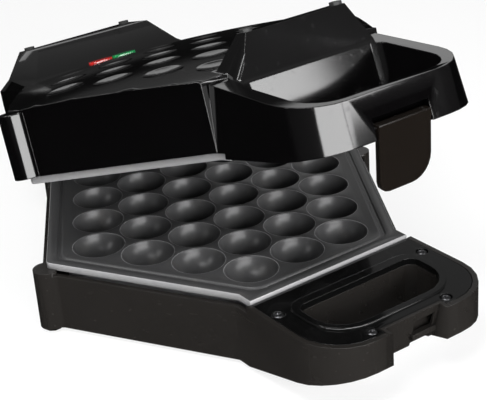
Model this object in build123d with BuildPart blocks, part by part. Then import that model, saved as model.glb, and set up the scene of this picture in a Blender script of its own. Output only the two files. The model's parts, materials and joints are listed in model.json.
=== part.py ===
"""Bubble waffle maker: a countertop cooker with two cast plates of round pits and a floating hinge."""

import os
from math import asin, cos, degrees, pi, radians, sin, sqrt, tan

from build123d import *

os.makedirs("parts", exist_ok=True)

# Cooking field
PITCH = 33.0
ROW_PITCH = PITCH * sqrt(3) / 2
MIDDLE_ROW = 6
SIDE_ROWS = 3
PIT_RADIUS = 15.3
PIT_DEPTH = 12.6
PIT_SIDES = 9
PIT_RINGS = 2
PLATE_APOTHEM = 102.0
PLATE_FLANK = 56.5
PLATE_REACH = 116.6
PLATE_EDGE = 4.2
TIP_RADIUS = 4.0
PLATE_THICK = 16.0
RIM_WIDTH = 6.0
GROOVE_WIDTH = 2.4
GROOVE_DEPTH = 1.0
RIDGE_WIDTH = 1.6
FLOOR_SLOPE = 3.0
FLOOR_DROP = 1.3
BLOCK_INSET = 11.4
RIM_GAP = 0.3
BEYOND = 400.0
SIDES = 6
FINE_SIDES = 10
WIDE_ROUND = 10.0
WIDE_FLATS = 6
SMALL_FLATS = 3

# Plate fixing, the same on both halves
TAB_X = 42.0
TAB_Y = 121.5
TAB_WIDTH = 11.0
TAB_THICK = 4.0
TAB_DEPTH = 7.6
BOSS_RADIUS = 4.0
SCREW_RADIUS = 1.5
PILOT_RADIUS = 1.55
PILOT_DEPTH = 11.0
SCREW_HEAD_RADIUS = 2.9
SCREW_HEAD_THICK = 1.8
PANEL_SCREW_LENGTH = 9.0
PLATE_SCREW_LENGTH = 12.0

# Heater, reflector and thermostat of each half
TUBE_RADIUS = 3.25
HEATER_TAIL = 20.0
HEATER_WAIST = 66.0
HEATER_SHOULDER = 38.0
HEATER_FRONT = 74.0
HEATER_END = 108.0
HEATER_NECK = 80.0
CLAMP_THICK = 1.4
CLAMP_WIDTH = 9.0
CLAMP_FOOT = 7.0
REFLECTOR_DEPTH = 28.0
REFLECTOR_THICK = 0.8
REFLECTOR_RIM = 5.0
REFLECTOR_APOTHEM = 88.0
POST_X = 50.0
POST_Y = 24.0
POST_RADIUS = 4.0
THERMOSTAT_RADIUS = 8.0
THERMOSTAT_THICK = 8.0
THERMOSTAT_Y = 38.0
FUSE_RADIUS = 2.5
FUSE_LENGTH = 14.0
FUSE_Y = 60.0
TERMINAL_WIDTH = 24.0
TERMINAL_DEEP = 12.0
TERMINAL_HIGH = 14.0
TERMINAL_Y = 124.0
LEAD_RADIUS = 1.2

# Base housing
HOUSING_APOTHEM = 105.0
HOUSING_FLANK = 59.5
WALL = 3.0
LIP_Z = -6.0
FLOOR_Z = -40.5
FLOOR_THICK = 3.0
TABLE_Z = -43.0
NECK_END = 116.9
REAR_Y = 145.0
REAR_HALF = 44.0
REAR_TOP_Z = -2.5
REAR_CORNER = 8.0
LUG_RADIUS = 7.5
LUG_REACH = 126.3
LUG_FILLET = 4.0
LUG_NECK = 10.0
LUG_TOP_Z = -0.2
LUG_FOOT = 2.0
LUG_FOOT_RADIUS = 5.5
FOOT_RADIUS = 7.0
FOOT_SEAT = 0.8
FOOT_X = 42.0
FOOT_Y = 92.0
VENT_WIDTH = 3.0
VENT_LENGTH = 34.0
VENT_PITCH = 10.0
VENTS = 5
GLAND_X = -18.0
GLAND_Z = -24.0
GLAND_RADIUS = 5.5
CABLE_RADIUS = 3.2
GLAND_FLANGE = 1.6

# Front finger loop of the base
HANDLE_FRONT = 189.5
HANDLE_CORNER = 30.0
HANDLE_TOP_Z = -2.0
UNDERSIDE_START = 116.0
UNDERSIDE_ANGLE = 14.4
PANEL_THICK = 2.4
PANEL_GAP = 0.4
LOOP_HALF = 41.5
LOOP_REAR = 137.0
LOOP_FRONT = 172.0
LOOP_FRONT_RADIUS = 20.0
LOOP_REAR_RADIUS = 6.0
LOOP_WALL = 2.4
LOOP_LIP_WIDTH = 3.6
LOOP_LIP_HEIGHT = 1.4
LOOP_LIP_REAR = 6.0
SIDE_SCREW = (51.5, -135.0)
FRONT_SCREW = (26.0, -181.0)
COUNTERBORE_RADIUS = 4.0
COUNTERBORE_DEPTH = 1.2
REAR_SCREW = (18.0, 135.0)
LID_REAR_SCREW = (18.0, 124.0)

# Latch
RECESS_HALF = 19.0
RECESS_TOP_Y = -183.4
RECESS_LEAN = 15.7
RECESS_WALL = 2.4
WINDOW_LEFT = 3.0
WINDOW_RIGHT = 17.0
WINDOW_TOP_Z = -7.5
BAR_FRONT_Y = -181.5
BAR_TOP_Z = -16.0
BAR_HEIGHT = 3.2
LATCH_Y = -188.6
LATCH_Z = 7.6
LATCH_PIN_RADIUS = 1.2
LATCH_PIN_HALF = 21.5
RUNNING_GAP = 0.05
FLAP_HALF = 17.0
FLAP_INNER = 1.1
FLAP_THICK = 3.0
FLAP_TOP = 2.5
FLAP_LENGTH = 34.2
FLAP_LEFT_RADIUS = 6.0
FLAP_RIGHT_RADIUS = 13.0
BARREL_RADIUS = 2.6
HOOK_LEFT = 4.5
HOOK_RIGHT = 11.0
HOOK_DROP = 28.6
HOOK_HEIGHT = 3.3
HOOK_REACH = 2.0

# Floating hinge
OPEN_ANGLE = 15.7
LIFT = 10.7
PIN_Y = 139.5
PIN_Z = 6.0
PIN_RADIUS = 2.5
PIN_HALF = 41.4
EAR_X = 31.0
EAR_THICK = 6.0
EAR_RADIUS = 5.4
EAR_GAP = 1.0
KNUCKLE_THICK = 4.6
KNUCKLE_RADIUS = 5.2
KNUCKLE_TOP = 32.0
CLIP_RADIUS = 3.5
CLIP_THICK = 0.8
CLIP_GROOVE = 2.1

# Lid housing
LID_WALL = 2.6
LID_EDGE_Z = 5.0
ROOF_SAG = 0.6
LID_LOW_Z = 2.0
DOME_TOP_Z = 50.0
DOME_RADIUS = 1040.0
DOME_SIDES = 18
DOME_RINGS = (165.0, 115.0, 75.0, 35.0)
LID_REAR_Y = 146.0
LID_HANDLE_FRONT = 191.8
LID_DRAFT = 6.0
RIM_START_Y = -115.0
RIM_START_Z = 40.0
RIM_SLOPE = 11.1
LID_LOOP_REAR = 131.0
LID_LOOP_TOP_HALF = 46.6
LID_LOOP_TOP_FRONT = 186.0
LID_LOOP_TOP_REAR = 126.0
LID_LOOP_TOP_RADIUS = 19.0
LID_RECESS_HALF = 18.5
LID_RECESS_TOP_Z = 13.2
LID_RECESS_Y = -184.8
RIDGE_TOP_Z = 62.0
RIDGE_LOW_Z = -8.0
CHANNEL_DEPTH = 10.0
CHANNEL_WALL = 9.5
OPENING_WALL = 3.6
REAR_BOSS_TOP_Z = 55.5
FRONT_BOSS_TOP_Z = 30.0
DIMPLE_RADIUS = 11.5
DIMPLE_DEPTH = 1.3
DIMPLE_FLOOR = 5.5
NUB_RADIUS = 3.5
NUB_HEIGHT = 1.8
LENS_LENGTH = 17.0
LENS_WIDTH = 8.0
LENS_Y = 94.5
LENS_GAP = 0.15
LENS_X = 9.0
LENS_STAND = 1.2
LENS_FLANGE = 1.5
LENS_FLANGE_Z = 42.3
SEAT_THICK = 2.45
LID_PANEL_REAR = 133.0
EAR_SWING_Y = 122.0
NOTCH_TOP_Z = 24.0
NUB_FRONT = (30.0, -117.0)
NUB_REAR = (37.0, 137.0)
HOLDER_HALF = 27.0
HOLDER_DEEP = 11.0
HOLDER_THICK = 1.5
HOLDER_Z = 33.0
HOLDER_POST_X = 24.0
HOLDER_POST_RADIUS = 2.5
NEON_RADIUS = 2.6
NEON_LENGTH = 13.0

# The field's centre is set so that the whole object, lid half open, is centred on the origin
TURN_COS = cos(radians(OPEN_ANGLE))
TURN_SIN = sin(radians(OPEN_ANGLE))
PIN_ROOM_Y = PIN_Y - PIN_Y * TURN_COS - PIN_Z * TURN_SIN
REAR_REACH = PIN_ROOM_Y + LID_REAR_Y * TURN_COS + RIDGE_TOP_Z * TURN_SIN
FIELD_Y = (HANDLE_FRONT - REAR_REACH) / 2
RIM_HEIGHT = -TABLE_Z

# Frames: the base and the lid each have x to the right, y to the rear and z up from the parting plane,
# and each cooking plate has its depth, measured into its own housing, as z
BASE = Plane(origin=(0, FIELD_Y, RIM_HEIGHT), x_dir=(1, 0, 0), z_dir=(0, 0, 1))
TURNED = Plane(origin=(0, 0, 0), x_dir=(1, 0, 0), z_dir=(0, TURN_SIN, TURN_COS))
PIN_AT_REST = BASE.from_local_coords((0, PIN_Y, PIN_Z + LIFT))
PIN_IN_LID = TURNED.from_local_coords((0, PIN_Y, PIN_Z))
LID = Plane(origin=PIN_AT_REST - PIN_IN_LID, x_dir=(1, 0, 0), z_dir=TURNED.z_dir)
LOWER = Plane(origin=BASE.origin, x_dir=(-1, 0, 0), z_dir=(0, 0, -1))
UPPER = Plane(origin=LID.offset(RIM_GAP).origin, x_dir=(1, 0, 0), z_dir=LID.z_dir)


def section(frame, x=0.0):
    """Plane square to the width at x, drawn as (y, z)."""
    return Plane(origin=frame.from_local_coords((x, 0, 0)), x_dir=frame.y_dir, z_dir=frame.x_dir)


def front_view(frame, y=0.0):
    """Plane seen from the front at y, drawn as (x, z)."""
    return Plane(origin=frame.from_local_coords((0, y, 0)), x_dir=frame.x_dir, z_dir=-frame.y_dir)


def both_sides(x, y):
    """The point and its mirror image across the middle."""
    return [(x, y), (-x, y)]


def pit_centres(rows):
    """Centres of the pits in the given rows, counted from the middle row."""
    centres = []
    for row in rows:
        count = MIDDLE_ROW - abs(row)
        for place in range(count):
            centres.append(((place - (count - 1) / 2) * PITCH, row * ROW_PITCH))
    return centres


def mirrored(right):
    """Close an outline from its right-hand corners, given front to rear."""
    return right + [(-x, *rest) for x, *rest in reversed(right)]


def rounded(corners):
    """Outline through (x, y, radius) corners, each round drawn as short flats."""
    outline = []
    for k, (x, y, radius) in enumerate(corners):
        corner = Vector(x, y)
        if not radius:
            outline.append(corner)
            continue
        back = (Vector(*corners[k - 1][:2]) - corner).normalized()
        ahead = (Vector(*corners[(k + 1) % len(corners)][:2]) - corner).normalized()
        half = radians(back.get_angle(ahead)) / 2
        middle = (back + ahead).normalized()
        centre = corner + middle * (radius / sin(half))
        arm = corner + back * (radius / tan(half)) - centre
        turn = 180 - 2 * degrees(half)
        way = 1 if back.cross(ahead).Z < 0 else -1
        flats = WIDE_FLATS if radius > WIDE_ROUND else SMALL_FLATS
        outline += [centre + arm.rotate(Axis.Z, way * turn * n / flats) for n in range(flats + 1)]
    return [(point.X, point.Y) for point in outline]


def capsule(length, width):
    """Outline of a long pill with round ends."""
    end = 0.499 * width
    return rounded(mirrored([(length / 2, -width / 2, end), (length / 2, width / 2, end)]))


def ring(radius, height, sides):
    """Corners of a level many-sided ring about the origin."""
    return [(radius * cos(2 * pi * k / sides), radius * sin(2 * pi * k / sides), height) for k in range(sides)]


def faceted(rings, flat=True):
    """Solid with flat faces between rings of corners, split into triangles where a face would twist."""
    faces = [Face(Wire.make_polygon(rings[0])), Face(Wire.make_polygon(rings[-1]))]
    for low, high in zip(rings, rings[1:]):
        for k in range(len(low)):
            if flat:
                faces.append(Face(Wire.make_polygon([low[k - 1], low[k], high[k], high[k - 1]])))
            else:
                faces.append(Face(Wire.make_polygon([low[k - 1], low[k], high[k]])))
                faces.append(Face(Wire.make_polygon([low[k - 1], high[k], high[k - 1]])))
    return Solid(Shell(faces))


def rod(radius, height, sides=SIDES):
    """Many-sided post standing on the origin, its corners at the radius."""
    return faceted([ring(radius, 0, sides), ring(radius, height, sides)])


def bore(radius, depth, sides=SIDES):
    """Cutter for a many-sided hole, as deep each way from the origin, its flats at the radius."""
    corner = radius / cos(pi / sides)
    return faceted([ring(corner, -depth, sides), ring(corner, depth, sides)])


def tube(frame, points, radius, sides):
    """Many-sided tube along straight runs with mitred corners, drawn in the frame."""
    stops = [Vector(*frame.from_local_coords(point)) for point in points]
    start = Plane(origin=stops[0], z_dir=stops[1] - stops[0])
    rings = [[Vector(*start.from_local_coords(corner)) for corner in ring(radius, 0, sides)]]
    for k in range(1, len(stops)):
        run = (stops[k] - stops[k - 1]).normalized()
        ahead = (stops[k + 1] - stops[k]).normalized() if k + 1 < len(stops) else run
        mitre = run + ahead
        rings.append([corner + run * ((stops[k] - corner).dot(mitre) / run.dot(mitre)) for corner in rings[-1]])
    return faceted(rings)


def shoulder(apothem, flank):
    """Distance from the middle at which a slanted side meets the neck."""
    return (apothem - flank * cos(radians(30))) / sin(radians(30))


def field_corners(inset):
    """Corners of the plate's six-sided outline with its front and rear necks, drawn in by the inset."""
    apothem = PLATE_APOTHEM - inset
    flank = PLATE_FLANK - inset
    reach = PLATE_REACH - inset
    neck = shoulder(apothem, flank)
    right = [(flank, -reach, 0), (flank, -neck, 0), (apothem / cos(radians(30)), 0, TIP_RADIUS)]
    return rounded(mirrored(right + [(flank, neck, 0), (flank, reach, 0)]))


def field_outline(plane, inset):
    """Outline of the plate on a plane."""
    with BuildSketch(plane) as outline:
        Polygon(*field_corners(inset), align=None)
    return outline.sketch


def tray_outline(plane, inset=0.0, lugs=False):
    """Outline of the base with its finger loop, drawn in by the inset."""
    neck = shoulder(HOUSING_APOTHEM, HOUSING_FLANK)
    tip = HOUSING_APOTHEM / cos(radians(30))
    right = [(HOUSING_FLANK, -HANDLE_FRONT, HANDLE_CORNER), (HOUSING_FLANK, -neck, 0), (tip, 0, 0)]
    right += [(HOUSING_FLANK, neck, 0), (REAR_HALF, REAR_Y, REAR_CORNER)]
    with BuildSketch(plane) as outline:
        Polygon(*rounded(mirrored(right)), align=None)
        if lugs:
            with Locations(*both_sides(LUG_REACH - LUG_RADIUS, 0)):
                Circle(LUG_RADIUS)
            Rectangle(2 * (LUG_REACH - LUG_RADIUS), LUG_NECK)
            joints = outline.vertices().filter_by(lambda v: abs(v.X) > HOUSING_FLANK * 1.5 and abs(v.Y) > 1)
            fillet(joints, LUG_FILLET)
        if inset:
            offset(amount=-inset, kind=Kind.INTERSECTION)
    return outline.sketch


def loop_outline(plane, half, rear, front, front_radius, rear_radius):
    """Rounded D of a finger opening."""
    with BuildSketch(plane) as outline:
        Polygon(*rounded(mirrored([(half, -front, front_radius), (half, -rear, rear_radius)])), align=None)
    return outline.sketch


def underside_z(y):
    """Height of the finger loop's sloping underside."""
    return FLOOR_Z + max(0.0, -UNDERSIDE_START - y) * tan(radians(UNDERSIDE_ANGLE))


def recess_y(z):
    """Place of the latch recess's leaning back wall."""
    return RECESS_TOP_Y - (z - HANDLE_TOP_Z) * tan(radians(RECESS_LEAN))


# Hollow of the base, drawn about the field's centre and kept clear of the finger opening and of the latch recess
with BuildPart() as base_hollow:
    extrude(tray_outline(Plane.XY.offset(FLOOR_Z + FLOOR_THICK), WALL), amount=-FLOOR_Z)
    with BuildSketch(section(Plane.XY)):
        far = -HANDLE_FRONT - 20
        Polygon(
            (-UNDERSIDE_START, FLOOR_Z + FLOOR_THICK),
            (far, underside_z(far) + FLOOR_THICK),
            (far, FLOOR_Z - 20),
            (-UNDERSIDE_START, FLOOR_Z - 20),
            align=None,
        )
    extrude(amount=HOUSING_FLANK, both=True, mode=Mode.SUBTRACT)
    with BuildSketch(Plane.XY.offset(FLOOR_Z)):
        add(
            loop_outline(
                Plane.XY,
                LOOP_HALF + LOOP_WALL,
                LOOP_REAR - LOOP_WALL,
                LOOP_FRONT + LOOP_WALL,
                LOOP_FRONT_RADIUS + LOOP_WALL,
                LOOP_REAR_RADIUS + LOOP_WALL,
            )
        )
    extrude(amount=-FLOOR_Z + HANDLE_TOP_Z - PANEL_THICK, mode=Mode.SUBTRACT)
    with BuildSketch(section(Plane.XY)):
        Polygon(
            (recess_y(0) + RECESS_WALL, HANDLE_TOP_Z - PANEL_THICK),
            (recess_y(FLOOR_Z) + RECESS_WALL, FLOOR_Z),
            (-HANDLE_FRONT - 5, FLOOR_Z),
            (-HANDLE_FRONT - 5, HANDLE_TOP_Z - PANEL_THICK),
            align=None,
        )
    extrude(amount=RECESS_HALF + RECESS_WALL, both=True, mode=Mode.SUBTRACT)
    with BuildSketch(Plane.XY.offset(HANDLE_TOP_Z - PANEL_THICK)):
        with Locations((0, -HANDLE_FRONT)):
            Rectangle(2 * (RECESS_HALF + RECESS_WALL), 2 * (HANDLE_FRONT + recess_y(0) + RECESS_WALL))
    extrude(amount=2 * PANEL_THICK, mode=Mode.SUBTRACT)


# Base shell: floor, walls, finger loop, latch recess and slotted hinge ears in one moulding
with BuildPart(BASE) as base_shell:
    extrude(tray_outline(BASE.offset(FLOOR_Z), lugs=True), amount=HANDLE_TOP_Z - FLOOR_Z)
    with Locations((0, 0, LIP_Z)):
        Box(BEYOND, 2 * NECK_END, BEYOND, align=(Align.CENTER, Align.CENTER, Align.MIN), mode=Mode.SUBTRACT)
    with Locations((0, NECK_END, REAR_TOP_Z)):
        Box(BEYOND, BEYOND, BEYOND, align=(Align.CENTER, Align.MIN, Align.MIN), mode=Mode.SUBTRACT)
    with BuildSketch(section(BASE)):
        Polygon(
            (-UNDERSIDE_START, FLOOR_Z),
            (far, underside_z(far)),
            (far, FLOOR_Z - 20),
            (-UNDERSIDE_START, FLOOR_Z - 20),
            align=None,
        )
    extrude(amount=2 * HOUSING_FLANK, both=True, mode=Mode.SUBTRACT)
    with BuildSketch(section(BASE)):
        Polygon(
            (recess_y(5), 5),
            (recess_y(FLOOR_Z), FLOOR_Z),
            (-HANDLE_FRONT - 20, FLOOR_Z),
            (-HANDLE_FRONT - 20, 5),
            align=None,
        )
    extrude(amount=RECESS_HALF, both=True, mode=Mode.SUBTRACT)
    add(base_hollow.part, mode=Mode.SUBTRACT)
    # Finger opening through the loop
    with BuildSketch(BASE.offset(FLOOR_Z - 5)):
        add(loop_outline(Plane.XY, LOOP_HALF, LOOP_REAR, LOOP_FRONT, LOOP_FRONT_RADIUS, LOOP_REAR_RADIUS))
    extrude(amount=-FLOOR_Z + 10, mode=Mode.SUBTRACT)
    # Window below the recess's rim, with the catch bar across it
    with BuildSketch(section(BASE, WINDOW_LEFT)):
        Polygon(
            (recess_y(WINDOW_TOP_Z) - 2, WINDOW_TOP_Z),
            (recess_y(WINDOW_TOP_Z) + RECESS_WALL + 0.1, WINDOW_TOP_Z),
            (recess_y(FLOOR_Z) + RECESS_WALL + 0.1, FLOOR_Z),
            (recess_y(FLOOR_Z) - 2, FLOOR_Z),
            align=None,
        )
    extrude(amount=WINDOW_RIGHT - WINDOW_LEFT, mode=Mode.SUBTRACT)
    with BuildSketch(section(BASE, WINDOW_LEFT - 1.5)):
        with Locations((BAR_FRONT_Y, BAR_TOP_Z)):
            Rectangle(recess_y(BAR_TOP_Z) + 1.6 - BAR_FRONT_Y, BAR_HEIGHT, align=(Align.MIN, Align.MAX))
    extrude(amount=WINDOW_RIGHT - WINDOW_LEFT + 3)
    # Lug tops beside the plate's corners, and lug feet
    with BuildSketch(BASE.offset(LIP_Z)):
        with Locations(*both_sides(LUG_REACH - LUG_RADIUS, 0)):
            Circle(LUG_RADIUS)
    extrude(amount=LUG_TOP_Z - LIP_Z)
    extrude(field_outline(BASE.offset(LIP_Z), -PANEL_GAP), amount=-LIP_Z, mode=Mode.SUBTRACT)
    with Locations(*[(x, y, FLOOR_Z) for x, y in both_sides(LUG_REACH - LUG_RADIUS, 0)]):
        foot = [ring(LUG_FOOT_RADIUS, -LUG_FOOT, FINE_SIDES), ring(LUG_RADIUS, 0, FINE_SIDES)]
        add(faceted(foot))
    # Bosses for the panel screws and the plate screws, and posts under the reflector
    for x, y in both_sides(*SIDE_SCREW) + both_sides(*FRONT_SCREW) + both_sides(*REAR_SCREW):
        foot_z = underside_z(y) + FLOOR_THICK / 2
        with Locations((x, y, foot_z)):
            top = (HANDLE_TOP_Z if y < 0 else REAR_TOP_Z) - PANEL_THICK
            add(rod(BOSS_RADIUS, top - foot_z))
    for x, y in both_sides(TAB_X, TAB_Y) + both_sides(TAB_X, -TAB_Y):
        with Locations((x, y, FLOOR_Z + 1)):
            add(rod(BOSS_RADIUS, -FLOOR_Z - 1 - TAB_DEPTH - TAB_THICK))
    for x, y in both_sides(POST_X, POST_Y) + both_sides(POST_X, -POST_Y):
        with Locations((x, y, FLOOR_Z + 1)):
            add(rod(POST_RADIUS, -FLOOR_Z - 1 - REFLECTOR_DEPTH - REFLECTOR_THICK))
    # Slotted ears of the floating hinge
    for x in (EAR_X, -EAR_X):
        with BuildSketch(section(BASE, x)):
            with Locations((PIN_Y, FLOOR_Z + 1)):
                Rectangle(2 * EAR_RADIUS, PIN_Z + LIFT - FLOOR_Z - 1, align=(Align.CENTER, Align.MIN))
            with Locations((PIN_Y, PIN_Z + LIFT)):
                RegularPolygon(EAR_RADIUS, 2 * SIDES)
            with Locations((PIN_Y, PIN_Z + LIFT / 2)):
                width = 2 * (PIN_RADIUS + RUNNING_GAP) / cos(pi / 4 / SMALL_FLATS)
                Polygon(*capsule(LIFT + width, width), rotation=90, align=None, mode=Mode.SUBTRACT)
        extrude(amount=EAR_THICK / 2, both=True)
    # Screw pilots, cord gland hole, foot seats and floor vents
    for x, y in both_sides(*SIDE_SCREW) + both_sides(*FRONT_SCREW) + both_sides(*REAR_SCREW):
        with Locations((x, y, HANDLE_TOP_Z)):
            add(bore(PILOT_RADIUS, PILOT_DEPTH), mode=Mode.SUBTRACT)
    for x, y in both_sides(TAB_X, TAB_Y) + both_sides(TAB_X, -TAB_Y):
        with Locations((x, y, -TAB_DEPTH - TAB_THICK)):
            add(bore(PILOT_RADIUS, PILOT_DEPTH), mode=Mode.SUBTRACT)
    with BuildSketch(front_view(BASE, REAR_Y + 5)):
        with Locations((GLAND_X, GLAND_Z)):
            RegularPolygon(GLAND_RADIUS, FINE_SIDES)
    extrude(amount=5 + 2 * WALL, mode=Mode.SUBTRACT)
    with BuildSketch(BASE.offset(FLOOR_Z - 1)):
        with Locations(*both_sides(FOOT_X, FOOT_Y), *both_sides(FOOT_X, -FOOT_Y)):
            RegularPolygon(FOOT_RADIUS + 0.1, FINE_SIDES)
    extrude(amount=1 + FOOT_SEAT, mode=Mode.SUBTRACT)
    with BuildSketch(BASE.offset(FLOOR_Z - 1)):
        with GridLocations(2 * VENT_LENGTH, VENT_PITCH, 2, VENTS):
            Rectangle(VENT_LENGTH, VENT_WIDTH)
    extrude(amount=1 + FLOOR_THICK + 0.5, mode=Mode.SUBTRACT)
base_shell.part.label = "base_shell"
export_step(base_shell.part, "parts/base_shell.step")


def loop_panel_outline(plane, front, inset):
    """Cover outline of a finger loop, from the neck to the front, notched behind the latch recess."""
    neck = NECK_END + PANEL_GAP
    notch_half = RECESS_HALF + RECESS_WALL + PANEL_GAP
    notch_y = recess_y(HANDLE_TOP_Z) + RECESS_WALL + PANEL_GAP
    with BuildSketch(plane) as outline:
        right = [(HOUSING_FLANK, -front, HANDLE_CORNER), (HOUSING_FLANK, inset - neck, 0)]
        Polygon(*rounded(mirrored(right)), align=None)
        offset(amount=-inset, kind=Kind.INTERSECTION)
        with Locations((0, notch_y)):
            Rectangle(2 * notch_half, front + notch_y, align=(Align.CENTER, Align.MAX), mode=Mode.SUBTRACT)
    return outline.sketch


# Cutter of a screw's hole and counterbore, below the origin
with BuildPart() as counterbore:
    add(bore(COUNTERBORE_RADIUS - 0.4, COUNTERBORE_DEPTH, FINE_SIDES))
    add(bore(SCREW_RADIUS + 0.2, PILOT_DEPTH))

# Covers of the finger loops and of the compartments behind the plates
with BuildPart(BASE) as base_handle_panel:
    low = HANDLE_TOP_Z - PANEL_THICK
    extrude(loop_panel_outline(BASE.offset(low), HANDLE_FRONT, WALL + PANEL_GAP), amount=PANEL_THICK)
    extrude(
        loop_outline(
            BASE.offset(HANDLE_TOP_Z),
            LOOP_HALF + LOOP_LIP_WIDTH,
            LOOP_REAR - LOOP_LIP_REAR,
            LOOP_FRONT + LOOP_LIP_WIDTH,
            LOOP_FRONT_RADIUS + LOOP_LIP_WIDTH,
            LOOP_REAR_RADIUS + LOOP_LIP_WIDTH,
        ),
        amount=LOOP_LIP_HEIGHT,
    )
    extrude(
        loop_outline(BASE.offset(low - 1), LOOP_HALF, LOOP_REAR, LOOP_FRONT, LOOP_FRONT_RADIUS, LOOP_REAR_RADIUS),
        amount=PANEL_THICK + LOOP_LIP_HEIGHT + 2,
        mode=Mode.SUBTRACT,
    )
    with Locations(*[(x, y, HANDLE_TOP_Z) for x, y in both_sides(*SIDE_SCREW) + both_sides(*FRONT_SCREW)]):
        add(counterbore.part, mode=Mode.SUBTRACT)
base_handle_panel.part.label = "base_handle_panel"
export_step(base_handle_panel.part, "parts/base_handle_panel.step")

with BuildPart(BASE) as base_rear_panel:
    with BuildSketch(BASE.offset(REAR_TOP_Z - PANEL_THICK)):
        add(tray_outline(Plane.XY, WALL + PANEL_GAP))
        with Locations((0, NECK_END + PANEL_GAP)):
            Rectangle(BEYOND, BEYOND, align=(Align.CENTER, Align.MIN), mode=Mode.INTERSECT)
        with Locations(*both_sides(EAR_X, PIN_Y - EAR_RADIUS - PANEL_GAP)):
            Rectangle(EAR_THICK + 2 * PANEL_GAP, BEYOND, align=(Align.CENTER, Align.MIN), mode=Mode.SUBTRACT)
    extrude(amount=PANEL_THICK)
    with Locations(*[(x, y, REAR_TOP_Z) for x, y in both_sides(*REAR_SCREW)]):
        add(counterbore.part, mode=Mode.SUBTRACT)
base_rear_panel.part.label = "base_rear_panel"
export_step(base_rear_panel.part, "parts/base_rear_panel.step")


def screw(length, head_radius):
    """Pan-head screw, its head's underside at the origin and its shank pointing down."""
    with BuildPart() as body:
        add(rod(head_radius, SCREW_HEAD_THICK, FINE_SIDES))
        with Locations((0, 0, -length)):
            add(rod(SCREW_RADIUS, length))
    return body.part


panel_screw = screw(PANEL_SCREW_LENGTH, SCREW_HEAD_RADIUS)
plate_screw = screw(PLATE_SCREW_LENGTH, SCREW_HEAD_RADIUS)

with BuildPart(BASE) as base_handle_screws:
    seat = HANDLE_TOP_Z - COUNTERBORE_DEPTH
    with Locations(*[(x, y, seat) for x, y in both_sides(*SIDE_SCREW) + both_sides(*FRONT_SCREW)]):
        add(panel_screw)
base_handle_screws.part.label = "base_handle_screws"
export_step(base_handle_screws.part, "parts/base_handle_screws.step")

with BuildPart(BASE) as base_rear_screws:
    with Locations(*[(x, y, REAR_TOP_Z - COUNTERBORE_DEPTH) for x, y in both_sides(*REAR_SCREW)]):
        add(panel_screw)
base_rear_screws.part.label = "base_rear_screws"
export_step(base_rear_screws.part, "parts/base_rear_screws.step")

# Pit cutter: a bubble of flat-sided rings, wide at the plate's floor
BUBBLE_RADIUS = (PIT_RADIUS**2 + PIT_DEPTH**2) / (2 * PIT_DEPTH)
BUBBLE_RISE = BUBBLE_RADIUS - PIT_DEPTH
MOUTH_ANGLE = asin(PIT_RADIUS / BUBBLE_RADIUS)
PIT_ANGLES = [MOUTH_ANGLE * (1 - k / (PIT_RINGS + 0.5)) for k in range(PIT_RINGS + 1)]
pit_cutter = faceted(
    [ring(BUBBLE_RADIUS * sin(a), BUBBLE_RADIUS * cos(a) - BUBBLE_RISE, PIT_SIDES) for a in PIT_ANGLES]
)

# What the two halves have alike: cast plate, heater, clamps, reflector and thermostat
TAB_PLACES = both_sides(TAB_X, TAB_Y) + both_sides(TAB_X, -TAB_Y)
POST_PLACES = both_sides(POST_X, POST_Y) + both_sides(POST_X, -POST_Y)
HEATER_HALF = [(HEATER_TAIL, HEATER_END), (HEATER_TAIL, HEATER_NECK), (HEATER_WAIST, HEATER_SHOULDER)]
HEATER_HALF.append((HEATER_WAIST, -HEATER_SHOULDER))
HEATER_Z = PLATE_THICK + TUBE_RADIUS + RUNNING_GAP
HEATER_ROUTE = HEATER_HALF + [(0, -HEATER_FRONT)] + [(-x, y) for x, y in reversed(HEATER_HALF)]

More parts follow.
